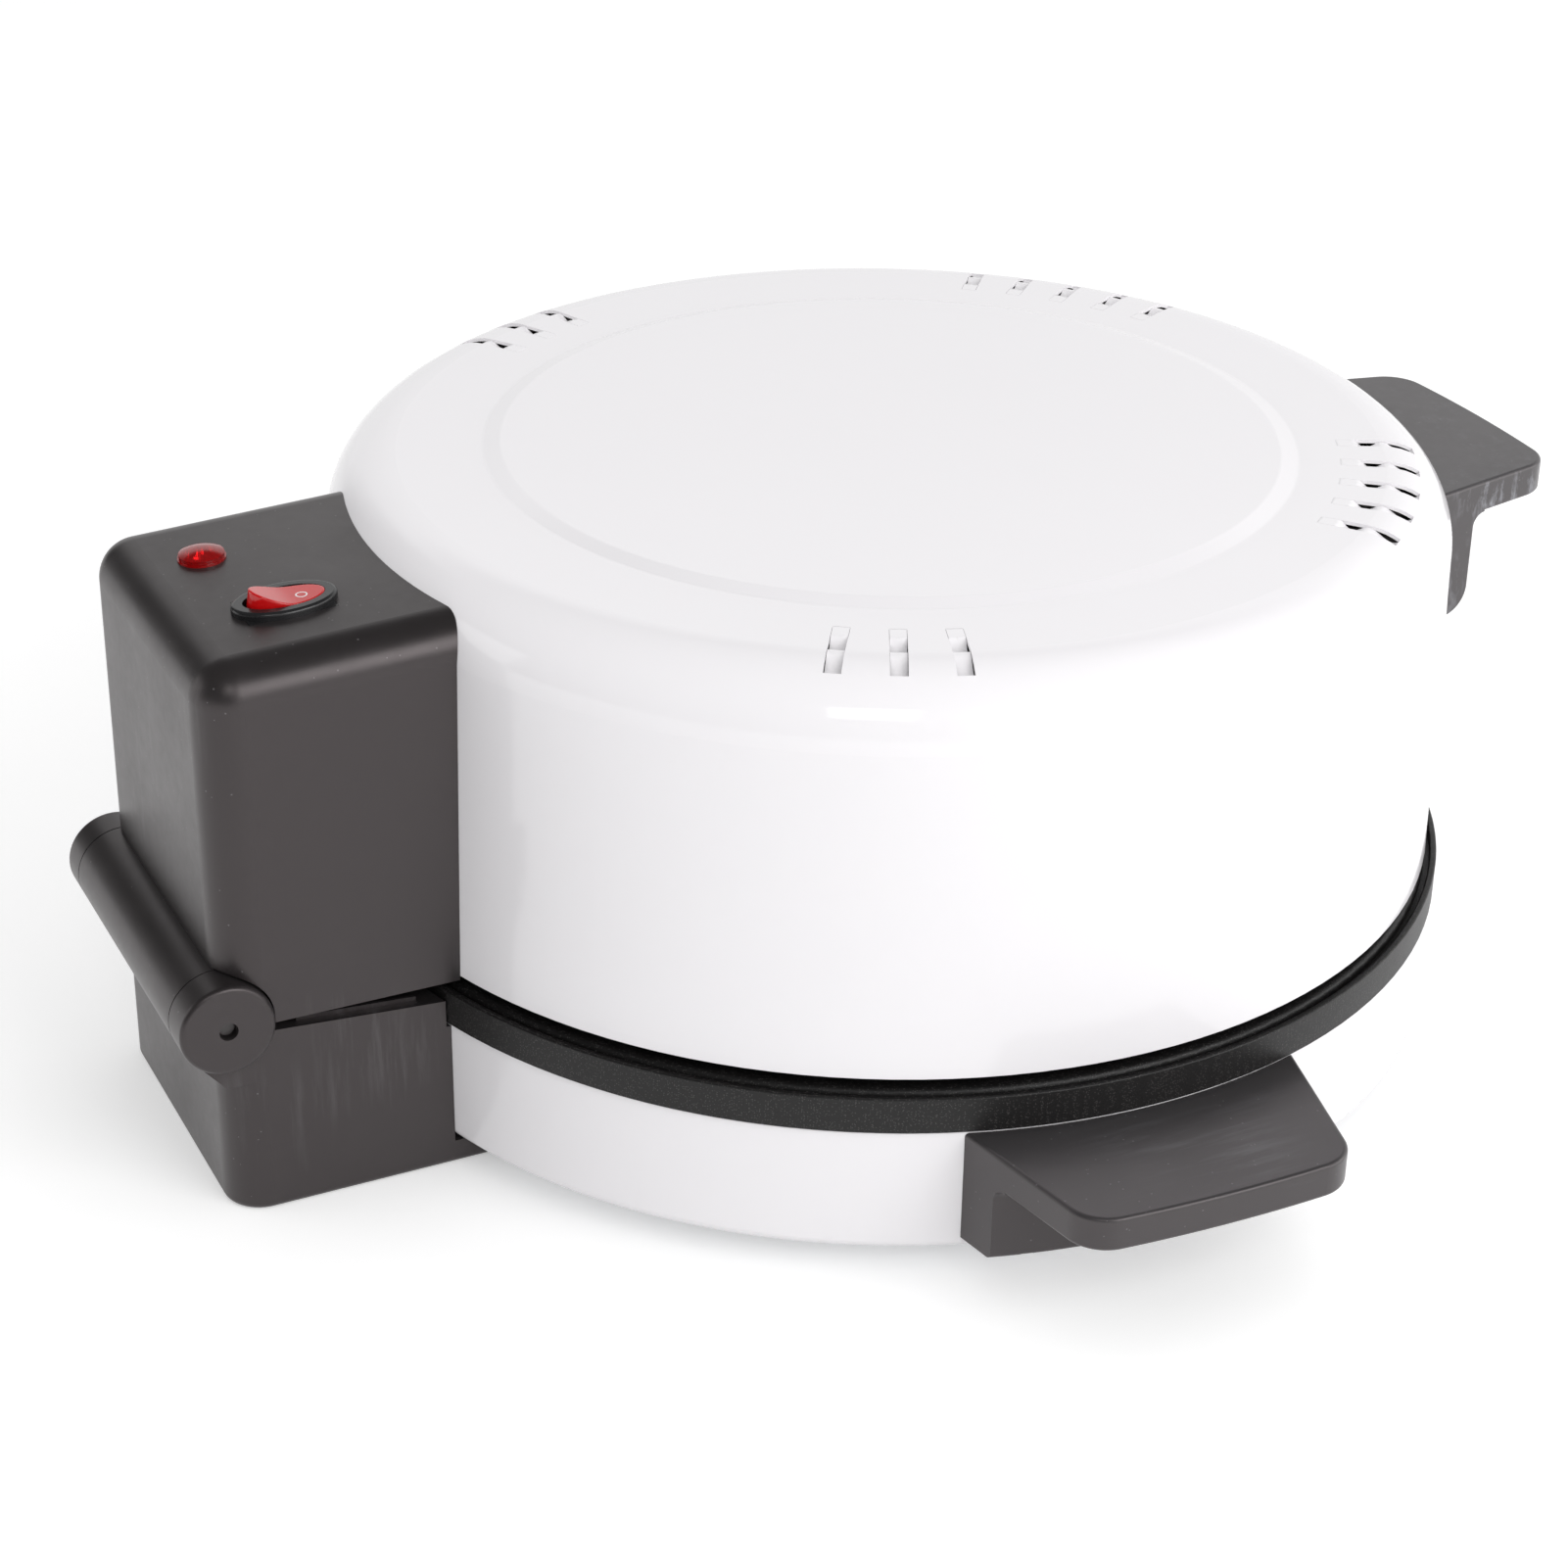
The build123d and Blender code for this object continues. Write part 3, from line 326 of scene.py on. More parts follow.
def blend_tones(tree, mask, below, above, target):
    """Mixes two colours by a mask and feeds the result to a colour socket."""
    inputs = {MIX_SHARE: mask, COLOUR_A: below, COLOUR_B: above}
    feed(tree, add_node(tree, "ShaderNodeMix", inputs, data_type="RGBA").outputs[COLOUR_OUT], target)


def tint(tree, mask, tones, target):
    """Lets a mask choose between a dark and a light tone."""
    dark, light = tones
    blend_tones(tree, mask, (*dark, 1.0), (*light, 1.0), target)


def cover(tree, mask, tone, target):
    """Lays one more tone over what feeds a colour socket already."""
    blend_tones(tree, mask, target.links[0].from_socket, (*tone, 1.0), target)


def spread(tree, pattern, ends, target):
    """Maps a noise pattern to a range of numbers."""
    feed(tree, remap(tree, pattern, noise_low, noise_high, *ends), target)


def bump(tree, height, depth, strength, target):
    """Feeds a height into a Bump node. Depth is in metres."""
    inputs = {"Strength": strength, "Distance": depth, "Height": height}
    feed(tree, add_node(tree, "ShaderNodeBump", inputs).outputs["Normal"], target)


print("material helpers ready")

# %% [markdown]
# ## Clouds and grain
# Nearly every finish here uses the mottling and the relief. Two short helpers
# place these groups, so that a finish states its numbers on one line each.

# %% Helpers for clouds and grain
def clouds(tree, broad, fine, fine_share):
    """The mottling at its three values."""
    return place_group(tree, mottling, {"Broad Scale": broad, "Fine Scale": fine, "Fine Share": fine_share})


def emboss(tree, skin, waves, grain, grain_share, depth, strength):
    """The fine relief on a shader's Normal. Depth is in metres."""
    values = {"Wave Scale": waves, "Grain Scale": grain, "Grain Share": grain_share}
    bump(tree, place_group(tree, relief, values), depth, strength, skin["Normal"])


print("clouds and grain ready")

# %% [markdown]
# ## White enamelled steel
# The dome and the drum are pressed steel with a thick, glossy white stove
# enamel. The paint is a touch cool, its gloss is even, and very slight orange
# peel makes long reflections waver. A clear coat on top of a rougher base
# could do it, but one smooth layer already gives the right single highlight.

# %% Finish: white enamel
enamel_middle = (0.862, 0.846, 0.866)
enamel_tones = ((0.848, 0.832, 0.852), (0.876, 0.86, 0.88))
enamel_rough = (0.075, 0.13)


def make_white_enamel():
    """Even, glossy, slightly cool white with a faint orange peel."""
    material, tree, skin = new_finish("white_enamel", enamel_middle, roughness=0.1, IOR=1.5)
    cloud = clouds(tree, broad=7.0, fine=60.0, fine_share=0.25)
    tint(tree, cloud, enamel_tones, skin["Base Color"])
    spread(tree, cloud, enamel_rough, skin["Roughness"])
    emboss(tree, skin, waves=170.0, grain=900.0, grain_share=0.15, depth=0.00002, strength=0.35)
    return material


white_enamel = make_white_enamel()
print("finish:", white_enamel.name)

# %% [markdown]
# ## Black moulded plastic
# The housings and handles are a heat-resistant black plastic with a satin,
# slightly greasy sheen. Its own colour is nearly black, and the grey that the
# eye sees is the room mirrored in its skin, so the colour stays dark and the
# sheen is a little warm and strong. Flow clouds, pale dust specks and dry
# streaks break it up. The handles are lighter copies of the same plastic, and
# their lighter colour is painted light that lifts the shade under the rims.
# The lid's handle is lighter still, partly from rubbing and partly as a
# painted sheen on its top, and its streaks lie mostly on its sides.

# %% Finish: black plastic
plastic_rough = (0.29, 0.4)
warm_sheen = (1.0, 0.9, 0.91, 1.0)
dust_tone, dust_strength = (0.16, 0.155, 0.16), 0.5
side_facing, top_facing = 0.2, 0.7


def keep_off_top(tree, mask, share_on_top):
    """A mask that keeps only a share of its strength where the surface looks up."""
    normal = add_node(tree, "ShaderNodeTexCoord").outputs["Normal"]
    upward = add_node(tree, "ShaderNodeSeparateXYZ", {0: normal}).outputs["Z"]
    return calculate(tree, "MULTIPLY", mask, remap(tree, upward, side_facing, top_facing, 1.0, share_on_top))


def make_black_plastic(name, tones, streak_tone, streaks, share_on_top=1.0):
    """Satin black with flow clouds, pale dust and dry streaks."""
    material, tree, skin = new_finish(name, tones[1], roughness=0.34, IOR=1.6, Specular_Tint=warm_sheen)
    cloud = clouds(tree, broad=22.0, fine=240.0, fine_share=0.35)
    tint(tree, cloud, tones, skin["Base Color"])
    dust = place_group(tree, specks, {"Scale": 620.0, "Size": 0.16, "Share": 0.09})
    cover(tree, calculate(tree, "MULTIPLY", dust, dust_strength), dust_tone, skin["Base Color"])
    rubbed = keep_off_top(tree, place_group(tree, scuffs, streaks), share_on_top)
    cover(tree, rubbed, streak_tone, skin["Base Color"])
    spread(tree, cloud, plastic_rough, skin["Roughness"])
    emboss(tree, skin, waves=260.0, grain=2400.0, grain_share=0.7, depth=0.00003, strength=0.35)
    return material


housing_tones = ((0.014, 0.0123, 0.0125), (0.021, 0.0188, 0.0192))
# Painted light: the handles' tones are lighter than the housing's, to lift the shade under the rims.
shade_lifted_handle_tones = ((0.03, 0.0285, 0.0297), (0.04, 0.0382, 0.0398))
# The lid handle's tones: partly rubbed wear, partly a painted sheen on its top.
rubbed_and_sheen_tones = ((0.04, 0.0388, 0.0405), (0.058, 0.0565, 0.059))
black_plastic = make_black_plastic(
    "moulded_black", housing_tones, (0.1, 0.098, 0.1),
    {"Stretch": (1.0, 1.0, 0.08), "Cut": 0.58, "Full": 0.8})
shade_lifted_black_handle = make_black_plastic(
    "shade_lifted_black_handle", shade_lifted_handle_tones, (0.085, 0.085, 0.09),
    {"Stretch": (1.0, 0.1, 1.0), "Cut": 0.56, "Full": 0.8})
scuffed_and_sheen_handle = make_black_plastic(
    "scuffed_and_sheen_handle", rubbed_and_sheen_tones, (0.3, 0.31, 0.34),
    {"Stretch": (1.0, 1.0, 0.35), "Cut": 0.36, "Full": 0.66, "Patch Scale": 45.0}, share_on_top=0.12)
print("finishes:", black_plastic.name, shade_lifted_black_handle.name, scuffed_and_sheen_handle.name)

# %% [markdown]
# ## Non-stick coat
# The cast plate has a black baked coat with fine mineral flakes, which give
# the rim its dry sparkle. The flakes are a dense layer of tiny specks, paler
# than the coat between them, over a sandy relief. Painted dots would show
# seams on a round rim, and the pattern has none.

# %% Finish: non-stick coat
coat_middle = (0.008, 0.0075, 0.0075)
coat_tones = ((0.007, 0.0066, 0.0066), (0.05, 0.047, 0.046))
coat_rough = (0.36, 0.48)


def make_nonstick():
    """Dry black with pale flakes, turning marks and a sandy relief."""
    material, tree, skin = new_finish(
        "nonstick_coat", coat_middle, roughness=0.42, Specular_IOR_Level=0.36)
    flakes = place_group(tree, specks, {"Scale": 2300.0, "Size": 0.36, "Share": 0.35})
    tint(tree, flakes, coat_tones, skin["Base Color"])
    rings = place_group(tree, turning_marks, {"Rings": 700.0})
    spread(tree, rings, coat_rough, skin["Roughness"])
    emboss(tree, skin, waves=500.0, grain=1900.0, grain_share=0.7, depth=0.00012, strength=0.6)
    return material


nonstick_coat = make_nonstick()
print("finish:", nonstick_coat.name)

# %% [markdown]
# ## Bare metals
# The reflector is bright spun aluminium. The inner lid is a dark steel as
# painted shade: its darkness stands for the shade inside the vents, which
# makes them look black from outside. The bottom, the screws and the straps
# and hangers of the heating rods are zinc plated steel, and the sheath of the
# rods is dark and oxidised. The terminal pins are plain steel, the hinge pin
# is a dark steel, and the blades of the switch are brass. All of them are one
# recipe with other numbers: a metallic shader whose colour and roughness
# wander, in rings where the piece is spun.

# %% Finishes: metals
fine_to_broad = 14
metal_relief = 0.00002


def make_metal(name, tones, rough, broad, spun=False):
    """A metallic shader whose colour and roughness wander."""
    material, tree, skin = new_finish(name, tones[1], rough[0], Metallic=1.0)
    cloud = clouds(tree, broad, broad * fine_to_broad, fine_share=0.4)
    tint(tree, cloud, tones, skin["Base Color"])
    if spun:
        rings = place_group(tree, turning_marks, {"Rings": 1300.0})
        spread(tree, rings, rough, skin["Roughness"])
        bump(tree, rings, metal_relief, strength=0.4, target=skin["Normal"])
    else:
        spread(tree, cloud, rough, skin["Roughness"])
        emboss(tree, skin, waves=300.0, grain=1800.0, grain_share=0.5, depth=metal_relief, strength=0.3)
    return material


spun_aluminium = make_metal(
    "spun_aluminium", ((0.62, 0.6, 0.56), (0.86, 0.86, 0.86)), rough=(0.22, 0.38), broad=9.0, spun=True)
# Painted shade: the inner lid is made dark so that the vents look black.
painted_shade_liner_steel = make_metal(
    "painted_shade_liner_steel", ((0.05, 0.045, 0.04), (0.13, 0.12, 0.11)), rough=(0.35, 0.5), broad=14.0, spun=True)
zinc_steel = make_metal(
    "zinc_steel", ((0.46, 0.47, 0.49), (0.66, 0.67, 0.69)), rough=(0.28, 0.42), broad=30.0)
element_sheath = make_metal(
    "element_sheath", ((0.07, 0.065, 0.065), (0.17, 0.155, 0.15)), rough=(0.4, 0.6), broad=40.0)
pin_steel = make_metal(
    "pin_steel", ((0.5, 0.5, 0.51), (0.66, 0.66, 0.68)), rough=(0.18, 0.3), broad=60.0)
# The hinge pin is simply a dark steel.
dark_hinge_steel = make_metal(
    "dark_hinge_steel", ((0.05, 0.047, 0.047), (0.11, 0.105, 0.105)), rough=(0.35, 0.5), broad=80.0)
blade_brass = make_metal(
    "blade_brass", ((0.6, 0.42, 0.18), (0.83, 0.64, 0.32)), rough=(0.22, 0.34), broad=60.0)
metals = (spun_aluminium, painted_shade_liner_steel, zinc_steel, element_sheath, pin_steel, dark_hinge_steel, blade_brass)
print("metals:", [metal.name for metal in metals])

# %% [markdown]
# ## Rubber and ceramic
# The feet and the bushing are matt black rubber with a bloom of dust. The
# beads of the heating rods and the terminal block are unglazed white ceramic,
# and the thermostat is the same brown resin as most such parts. One recipe
# serves all three, since each is a dull body colour under a fine grain.

# %% Finishes: rubber and ceramic
matt_fine_to_broad = 12


def make_matt(name, tones, rough, broad, grain_depth):
    """A dull body colour that wanders a little, under a fine grain."""
    material, tree, skin = new_finish(name, tones[1], roughness=rough)
    cloud = clouds(tree, broad, broad * matt_fine_to_broad, fine_share=0.5)
    tint(tree, cloud, tones, skin["Base Color"])
    emboss(tree, skin, waves=300.0, grain=1700.0, grain_share=0.6, depth=grain_depth, strength=0.5)
    return material


rubber_tones = ((0.016, 0.016, 0.016), (0.034, 0.034, 0.034))
black_rubber = make_matt("black_rubber", rubber_tones, rough=0.75, broad=60.0, grain_depth=0.00006)
white_ceramic = make_matt(
    "white_ceramic", ((0.72, 0.69, 0.62), (0.85, 0.83, 0.78)), rough=0.6, broad=50.0, grain_depth=0.00004)
brown_resin = make_matt(
    "brown_resin", ((0.12, 0.055, 0.03), (0.22, 0.11, 0.06)), rough=0.4, broad=50.0, grain_depth=0.00003)
print("matt finishes:", black_rubber.name, white_ceramic.name, brown_resin.name)

# %% [markdown]
# ## Red lens and rocker
# The lamp and the rocker are clear plastic tinted red right through. Light
# goes in, scatters behind and comes back deep red, and the smooth skin adds a
# white highlight. Full glass would need something bright behind it, so a
# partly transmitting shader with a red body is used. The lens lets most light
# through, the rocker little, and the foot of the lens is the darkest.

# %% Finishes: red translucent plastic
def make_red(name, tones, rough, through, coat):
    """Red plastic that lets a share of the light through, with a share of clear coat."""
    material, tree, skin = new_finish(
        name, tones[1], rough, IOR=1.5, Transmission_Weight=through, Coat_Weight=coat, Coat_Roughness=0.04)
    cloud = clouds(tree, broad=160.0, fine=700.0, fine_share=0.3)
    tint(tree, cloud, tones, skin["Base Color"])
    return material


red_lens = make_red(
    "red_lens", ((0.6, 0.005, 0.007), (0.85, 0.015, 0.016)), rough=0.03, through=0.72, coat=0.0)
red_rocker = make_red(
    "red_rocker", ((0.6, 0.004, 0.005), (0.82, 0.01, 0.012)), rough=0.1, through=0.3, coat=0.25)
red_foot = make_red(
    "red_foot", ((0.3, 0.002, 0.003), (0.5, 0.006, 0.007)), rough=0.12, through=0.35, coat=0.2)
print("finishes:", red_lens.name, red_rocker.name, red_foot.name)

# %% [markdown]
# ## Glossy black plastic
# The body and bezel of the switch are a shinier black plastic than the
# housing, which sets them off from the satin panel. They could share the
# housing's finish with a lower roughness, but dust and streaks would look
# wrong on parts this small and smooth.

# %% Finish: glossy black plastic
gloss_middle = (0.012, 0.012, 0.013)
gloss_tones = ((0.01, 0.01, 0.011), (0.018, 0.018, 0.019))
gloss_rough = (0.16, 0.28)


def make_gloss_black():
    """Smooth black that shines more than the housings."""
    material, tree, skin = new_finish("gloss_black_plastic", gloss_middle, roughness=0.2)
    cloud = clouds(tree, broad=90.0, fine=700.0, fine_share=0.5)
    tint(tree, cloud, gloss_tones, skin["Base Color"])
    spread(tree, cloud, gloss_rough, skin["Roughness"])
    return material


gloss_black_plastic = make_gloss_black()
print("finish:", gloss_black_plastic.name)

# %% [markdown]
# ## Dress the pieces
# Every piece of the mechanical model gets its finish here, from one table, so
# that it is easy to see what is made of what. A piece that isn't in the table
# is a set of screws and gets zinc plated steel. The smooth shading of round
# walls comes with the model.

# %% Give each piece its finish
finish_table = (
    (white_enamel, "base_shell lid_shell"),
    (nonstick_coat, "baking_plate"),
    (black_plastic, "lower_hinge_housing lower_housing_cover upper_hinge_housing upper_housing_cover"),
    (shade_lifted_black_handle, "base_handle_left base_handle_right"),
    (scuffed_and_sheen_handle, "lid_handle"),
    (black_rubber, "foot_1 foot_2 foot_3 foot_4 cord_bushing"),
    (spun_aluminium, "lower_reflector"),
    (painted_shade_liner_steel, "lid_liner"),
    (element_sheath, "lower_element upper_element"),
    (white_ceramic, "lower_element_insulators upper_element_insulators terminal_block"),
    (pin_steel, "lower_element_terminals upper_element_terminals"),
    (zinc_steel, "bottom_cover element_clamps element_brackets"),
    (brown_resin, "thermostat"),
    (dark_hinge_steel, "hinge_pin"),
    (red_lens, "lamp_lens"),
    (red_foot, "lamp_holder"),
    (red_rocker, "rocker"),
    (gloss_black_plastic, "switch_body lamp_nut"),
    (blade_brass, "switch_blades"),
)
finish_of = {name: finish for finish, names in finish_table for name in names.split()}
for name, node in nodes.items():
    node.data.materials.clear()
    node.data.materials.append(finish_of.get(name, zinc_steel))
print("dressed:", len(nodes), "of which sets of screws:", len(set(nodes) - set(finish_of)))

# %% [markdown]
# ## Flush roots for the vent strips
# Each vent of the lid is a strip of its own steel, cut free along both sides
# and pressed down in two places. In the mechanical model the curve of a strip
# swells a little above the lid before it dips. On the real lid the strip
# leaves the sheet flush. So the lid is drawn again here from the model's own
# faces, with each swelling pressed level and its shading normals set upright.

# %% Level of the sheet under each strip
lid_top_height, lid_sheet = 0.1732, 0.001
strip_start, strip_flush_end = 0.1278, 0.1336
flush_slack = 0.00001
facing_share = 0.3


def is_flat(face):
    """True for faces that look mostly up or down, and not to the side."""
    return abs(face.normal.z) > facing_share


def sheet_levels(mesh, spots):
    """How high each spot of a flat face may lie: the sheet's top or its underside."""
    levels = {}
    for face in filter(is_flat, mesh.polygons):
        level = lid_top_height if face.normal.z > 0 else lid_top_height - lid_sheet
        levels.update({spots[k]: level for k in face.vertices})
    return levels


print("strips are pressed between", strip_start, "and", strip_flush_end, "m from the axis")

# %% [markdown]
# ## Press the strips level
# The points of the strips that stand too high are moved down, and all others
# stay. The copy would keep the normals of the swelling, which still catch the
# light as a hump, so the corners at moved points get the normal of a level
# sheet, or of their own wall.

# %% Lid with flush vent strips
def press_level(mesh):
    """Moves down the points of the strips that rise above the sheet, and names them."""
    spots = [tuple(round(value, 6) for value in vertex.co) for vertex in mesh.vertices]
    levels = sheet_levels(mesh, spots)
    pressed = set()
    for vertex in mesh.vertices:
        level = levels.get(spots[vertex.index], lid_top_height)
        reach = math.hypot(vertex.co.x, vertex.co.y)
        if strip_start < reach < strip_flush_end and vertex.co.z > level + flush_slack:
            vertex.co.z = level
            pressed.add(vertex.index)
    mesh.update()
    return pressed


def draw_flush_lid(source, name):
    """A copy of the lid's faces whose strips don't rise above the sheet."""
    mesh = source.data.copy()
    mesh.name = name
    normals = [normal.vector.copy() for normal in mesh.corner_normals]
    pressed = press_level(mesh)
    for face in mesh.polygons:
        upright = Vector((0.0, 0.0, math.copysign(1.0, face.normal.z)))
        for corner in face.loop_indices:
            if mesh.loops[corner].vertex_index in pressed:
                normals[corner] = upright if is_flat(face) else face.normal.copy()
    mesh.normals_split_custom_set(normals)
    lid = bpy.data.objects.new(name, mesh)
    bpy.context.scene.collection.objects.link(lid)
    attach(lid, "lid")
    return lid, len(pressed)


lid_dome, pressed_count = draw_flush_lid(nodes["lid_shell"], "lid_dome")
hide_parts("lid_shell")
print("points pressed level:", pressed_count)

# %% [markdown]
# ## Skins drawn in rings
# The rocker and its printed mark are both small skins that close on
# themselves. They could be cut from solids, but a skin drawn as rings of
# points gives even faces and needs no clean-up. Both are drawn about the
# rocker's pivot and then tilted with it.

# %% Helpers for skins
rocker_pivot = joint_place["rocker_tilt"]
rocker_rest_tilt = math.radians(8.3)
sharp_angle = math.radians(40.0)


def oval_ring(middle, half_width, half_length, height, count):
    """A ring of points on an oval. Their height comes from a function of the distance along it."""
    ring = []
    for k in range(count):
        turn = 2 * math.pi * k / count
        x = middle[0] + half_width * math.cos(turn)
        y = middle[1] + half_length * math.sin(turn)
        ring.append((x, y, height(y)))
    return ring


def add_rings(build, rings):
    """Joins rings of points into a skin. A ring of one point closes an end."""
    made = [[build.verts.new(point) for point in ring] for ring in rings]
    for first, second in zip(made, made[1:]):
        count = max(len(first), len(second))
        for k in range(count):
            corners = [first[k % len(first)], second[k % len(second)],
                       second[(k + 1) % len(second)], first[(k + 1) % len(first)]]
            build.faces.new(list(dict.fromkeys(corners)))
    return made


def finish_piece(name, build, material, body):
    """Turns a skin drawn about the rocker's pivot into a shaded piece that rides on a body."""
    bmesh.ops.recalc_face_normals(build, faces=build.faces)
    mesh = bpy.data.meshes.new(name)
    build.to_mesh(mesh)
    build.free()
    mesh.shade_smooth()
    mesh.set_sharp_from_angle(angle=sharp_angle)
    mesh.materials.append(material)
    piece = bpy.data.objects.new(name, mesh)
    bpy.context.scene.collection.objects.link(piece)
    piece.location = rocker_pivot
    piece.rotation_euler = (rocker_rest_tilt, 0.0, 0.0)
    bpy.context.view_layer.update()
    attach(piece, body)
    return piece


print("rocker pivot:", [round(v, 4) for v in rocker_pivot])

# %% [markdown]
# ## The rocker
# The moulded rocker has a soft valley in its top and a rounded rim. The
# mechanical model keeps it plainer, with a sharp crease. Here the top is a
# smooth curve over an oval, drawn in rings from the middle to the rim, and
# from there down its wall to the foot.

# %% Shape of the rocker
rocker_half_width, rocker_half_length = 0.0058, 0.0104
valley_height, valley_rise, valley_softness = 0.00339, 0.00202, 0.003
top_shares = (0.12, 0.25, 0.38, 0.5, 0.62, 0.73, 0.83, 0.91, 0.95)
rim_steps = ((0.975, 0.00006), (0.991, 0.0002), (0.999, 0.0004), (1.0, 0.0006))
rocker_foot, foot_bevel, foot_share = -0.0035, 0.0004, 0.97
rocker_points = 72
centre = (0.0, 0.0)


def valley(y):
    """Height of the rocker's top above its pivot, at a distance along it."""
    reach = math.hypot(rocker_half_length, valley_softness) - valley_softness
    return valley_height + valley_rise * (math.hypot(y, valley_softness) - valley_softness) / reach


def rocker_ring(share, height):
    """One oval ring that takes a share of the rocker's plan."""
    return oval_ring(centre, share * rocker_half_width, share * rocker_half_length, height, rocker_points)


rings = [[(*centre, valley_height)]]
rings += [rocker_ring(share, valley) for share in top_shares]
rings += [rocker_ring(share, lambda y: valley(y) - drop) for share, drop in rim_steps]
rings += [rocker_ring(1.0, lambda y: rocker_foot + foot_bevel)]
rings += [rocker_ring(foot_share, lambda y: rocker_foot)]
rings += [[(*centre, rocker_foot)]]
build = bmesh.new()
add_rings(build, rings)
rocker_cap = finish_piece("rocker_cap", build, red_rocker, "rocker")
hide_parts("rocker")
print("rocker faces:", len(rocker_cap.data.polygons))

# %% [markdown]
# ## The printed ring
# The off side of the rocker carries a printed ring. A picture on the surface
# could show it, but a very thin ring of its own geometry stays sharp at any
# distance. It follows the valley, stands proud of it by the thickness of the
# ink, and goes a little below it so that no gap shows.

# %% The mark of the off side
print_tones = ((0.78, 0.76, 0.76), (0.86, 0.85, 0.85))
white_print = make_matt("white_print", print_tones, rough=0.45, broad=300.0, grain_depth=0.00001)
mark_centre, mark_outer, mark_inner = (-0.001, -0.0038), 0.0016, 0.00122
mark_proud, mark_sunk = 0.00005, 0.00015
mark_points = 48
mark_section = (
    (mark_inner, -mark_sunk), (mark_inner, mark_proud), (mark_outer, mark_proud), (mark_outer, -mark_sunk))


def mark_ring(radius, lift):
    """One circle of the printed ring, laid on the valley."""
    return oval_ring(mark_centre, radius, radius, lambda y: valley(y) + lift, mark_points)


build = bmesh.new()
made = add_rings(build, [mark_ring(radius, lift) for radius, lift in mark_section])
first, last = made[0], made[-1]
for k in range(mark_points):
    after = (k + 1) % mark_points
    build.faces.new((last[k], first[k], first[after], last[after]))
off_mark = finish_piece("off_mark", build, white_print, "rocker")
print("mark faces:", len(off_mark.data.polygons))

# %% [markdown]
# ## The floor
# The machine stands on a pale floor that runs out of the picture. To the
# camera and in mirrors it glows a little, so that it looks white like the
# paper of a product picture, yet it sheds no light on the object and still
# takes its shadow. More light on the floor would do the same, but would also
# bleach the machine.

# %% Floor
white = (1.0, 1.0, 1.0, 1.0)
floor_half_size = 6.0
floor_tone, floor_glow = (0.84, 0.84, 0.84), 0.32


def make_floor():
    """A wide pale square whose glow only the camera and mirrors see."""
    mesh = bpy.data.meshes.new("floor")
    build = bmesh.new()
    bmesh.ops.create_grid(build, x_segments=1, y_segments=1, size=floor_half_size)
    build.to_mesh(mesh)
    build.free()
    floor = bpy.data.objects.new("floor", mesh)
    bpy.context.scene.collection.objects.link(floor)
    material, tree, skin = new_finish(
        "pale_floor", floor_tone, roughness=0.9, Specular_IOR_Level=0.0, Emission_Color=white)
    path = add_node(tree, "ShaderNodeLightPath").outputs
    seen = calculate(tree, "MAXIMUM", path["Is Camera Ray"], path["Is Glossy Ray"])
    seen_too = calculate(tree, "MAXIMUM", seen, path["Is Transmission Ray"])
    feed(tree, calculate(tree, "MULTIPLY", seen_too, floor_glow), skin["Emission Strength"])
    mesh.materials.append(material)
    return floor


floor = make_floor()
print("floor:", floor.name)

# %% [markdown]
# ## The lamps
# Four soft lamps light the machine. As the camera sees it, a wide one stands
# at the right and a large one high between it and the camera. A small one
# above the camera helps the streak along the top of the housing, and one at
# the left, beyond the hinge, gives the back of the machine its sheen. Point
# lamps would be simpler, but only broad ones give the long soft highlights of
# a studio.

# %% Lamps
machine_middle = Vector((0.0, 0.0, 0.08))


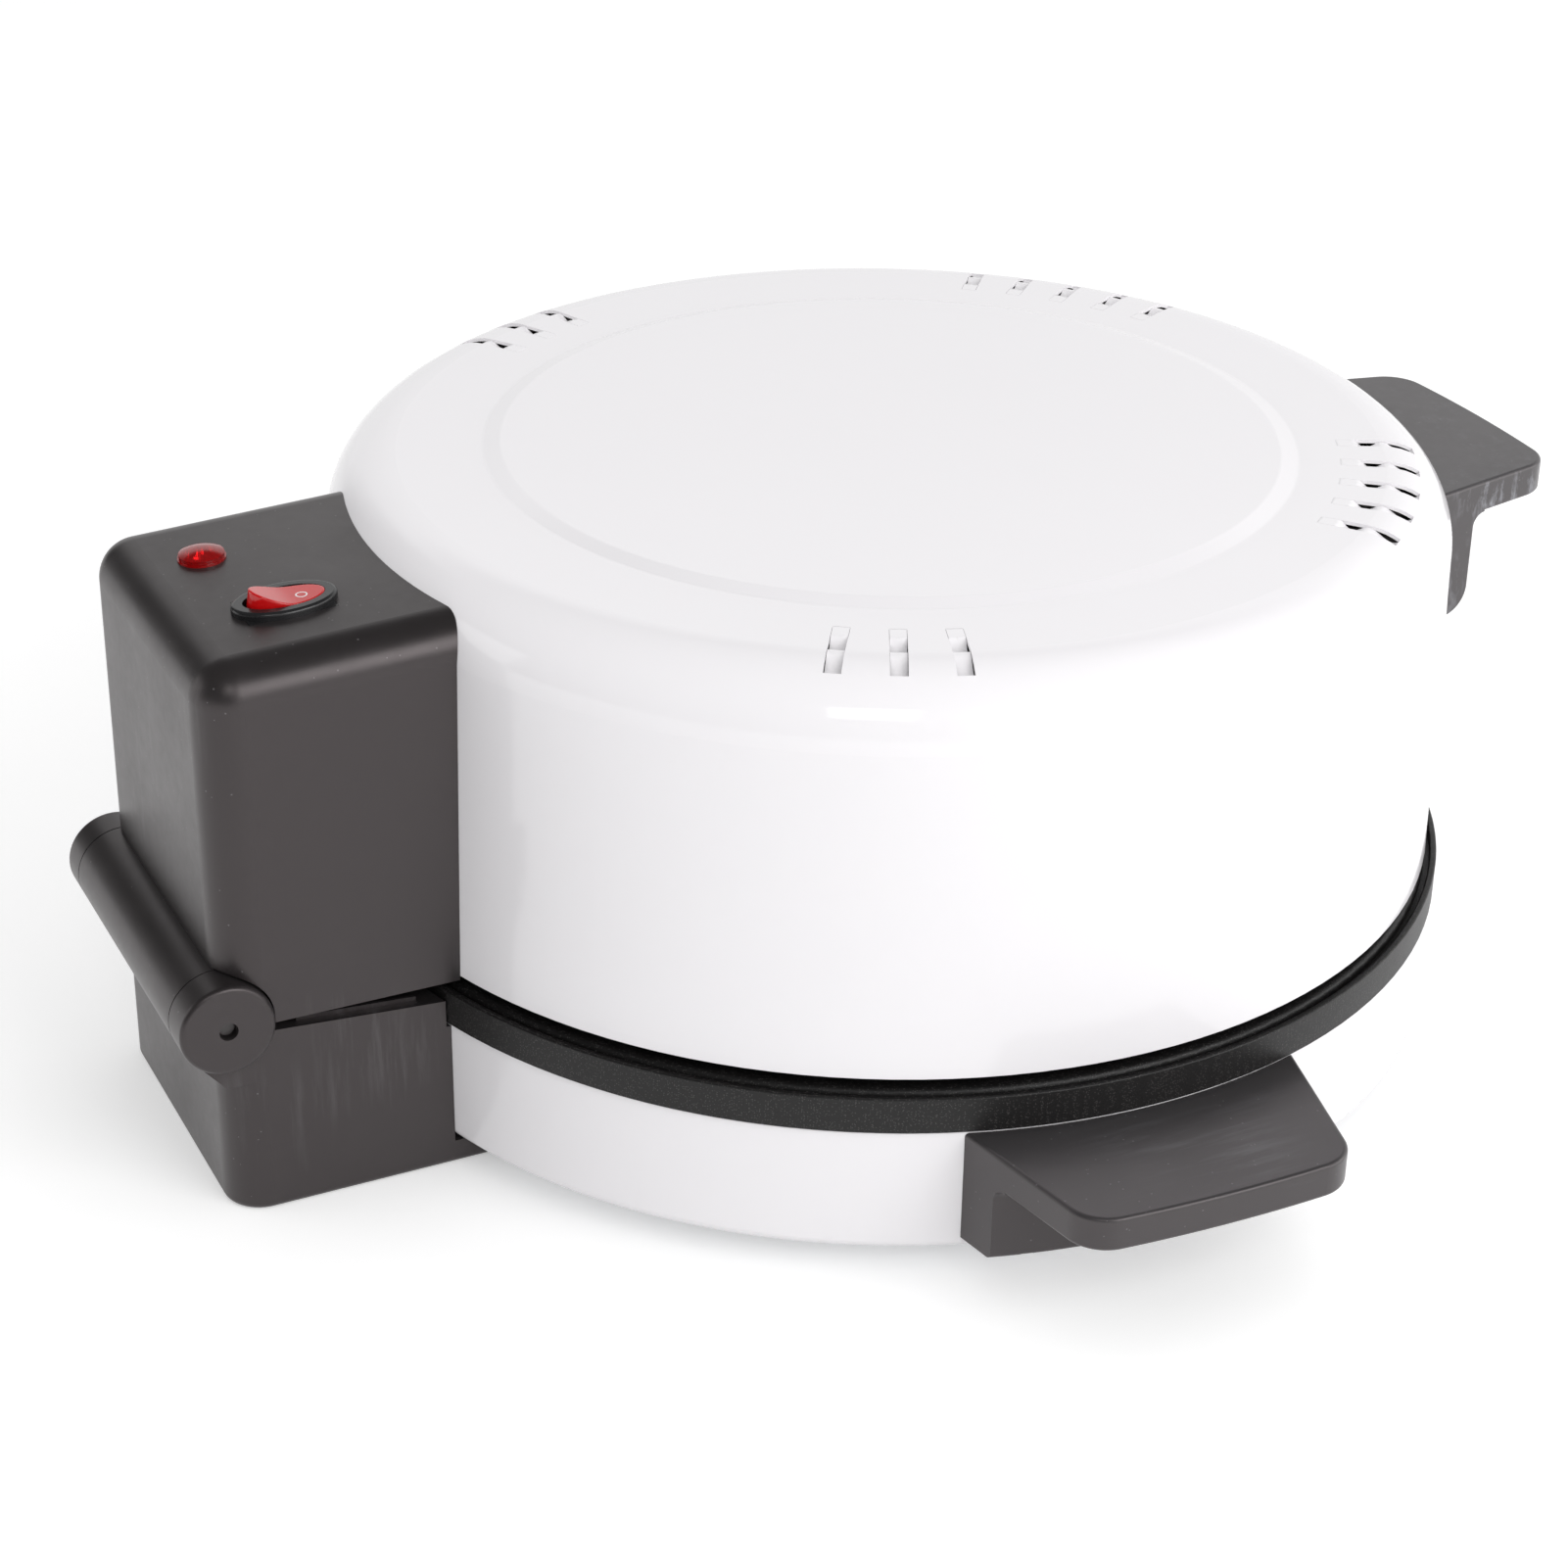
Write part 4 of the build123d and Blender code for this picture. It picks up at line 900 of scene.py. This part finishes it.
def soft_light(name, place, size, power):
    """A rectangular lamp, in metres and watts, that looks at the middle of the machine."""
    data = bpy.data.lights.new(name, "AREA")
    data.shape = "RECTANGLE"
    data.size, data.size_y = size
    data.energy = power
    lamp = bpy.data.objects.new(name, data)
    bpy.context.scene.collection.objects.link(lamp)
    lamp.location = place
    lamp.rotation_mode = "QUATERNION"
    lamp.rotation_quaternion = (machine_middle - Vector(place)).to_track_quat("-Z", "Y")
    return lamp


lamps = (
    soft_light("right_light", (-0.9, -1.6, 0.45), size=(1.6, 1.0), power=8.0),
    soft_light("front_light", (-1.45, -0.45, 1.0), size=(1.15, 0.9), power=11.5),
    soft_light("camera_light", (-1.15, 0.66, 1.05), size=(0.4, 0.4), power=2.0),
    soft_light("back_light", (0.9, 1.7, 0.5), size=(1.2, 0.8), power=3.5),
)
print("lamps:", [lamp.name for lamp in lamps])

# %% [markdown]
# ## The surround
# A pale surround fills in the shadows. It looks white to the camera and gives
# the object no more light for that. In mirrors it is dim overhead and at the
# back of the machine, and that draws the dark bands along the rounded edges
# of the black parts, as black screens do in a real studio.

# %% Surround
surround_light, surround_seen, surround_dim = 0.72, 1.0, 0.08
dim_above, dim_behind = (0.5, 0.7), (0.0, 0.3)


def make_surround(light, seen, dim):
    """A plain sky of one strength as light, white to the eye, and partly dim in mirrors."""
    world = bpy.data.worlds.new("surround")
    bpy.context.scene.world = world
    world.use_nodes = True
    tree = world.node_tree
    sky = tree.nodes["Background"].inputs
    sky["Color"].default_value = white
    path = add_node(tree, "ShaderNodeLightPath").outputs
    direction = add_node(tree, "ShaderNodeTexCoord").outputs["Generated"]
    axes = add_node(tree, "ShaderNodeSeparateXYZ", {0: direction}).outputs
    above = remap(tree, axes["Z"], *dim_above, interpolation_type="SMOOTHSTEP")
    behind = remap(tree, axes["Y"], *dim_behind, interpolation_type="SMOOTHSTEP")
    shade = calculate(tree, "MAXIMUM", above, behind)
    in_mirrors = remap(tree, shade, 0.0, 1.0, seen, dim)
    mirrored = calculate(tree, "MAXIMUM", path["Is Glossy Ray"], path["Is Transmission Ray"])
    strength = remap(tree, mirrored, 0.0, 1.0, light, in_mirrors)
    feed(tree, remap(tree, path["Is Camera Ray"], 0.0, 1.0, strength, seen), sky["Strength"])
    return world


surround = make_surround(surround_light, surround_seen, surround_dim)
print("world:", surround.name)
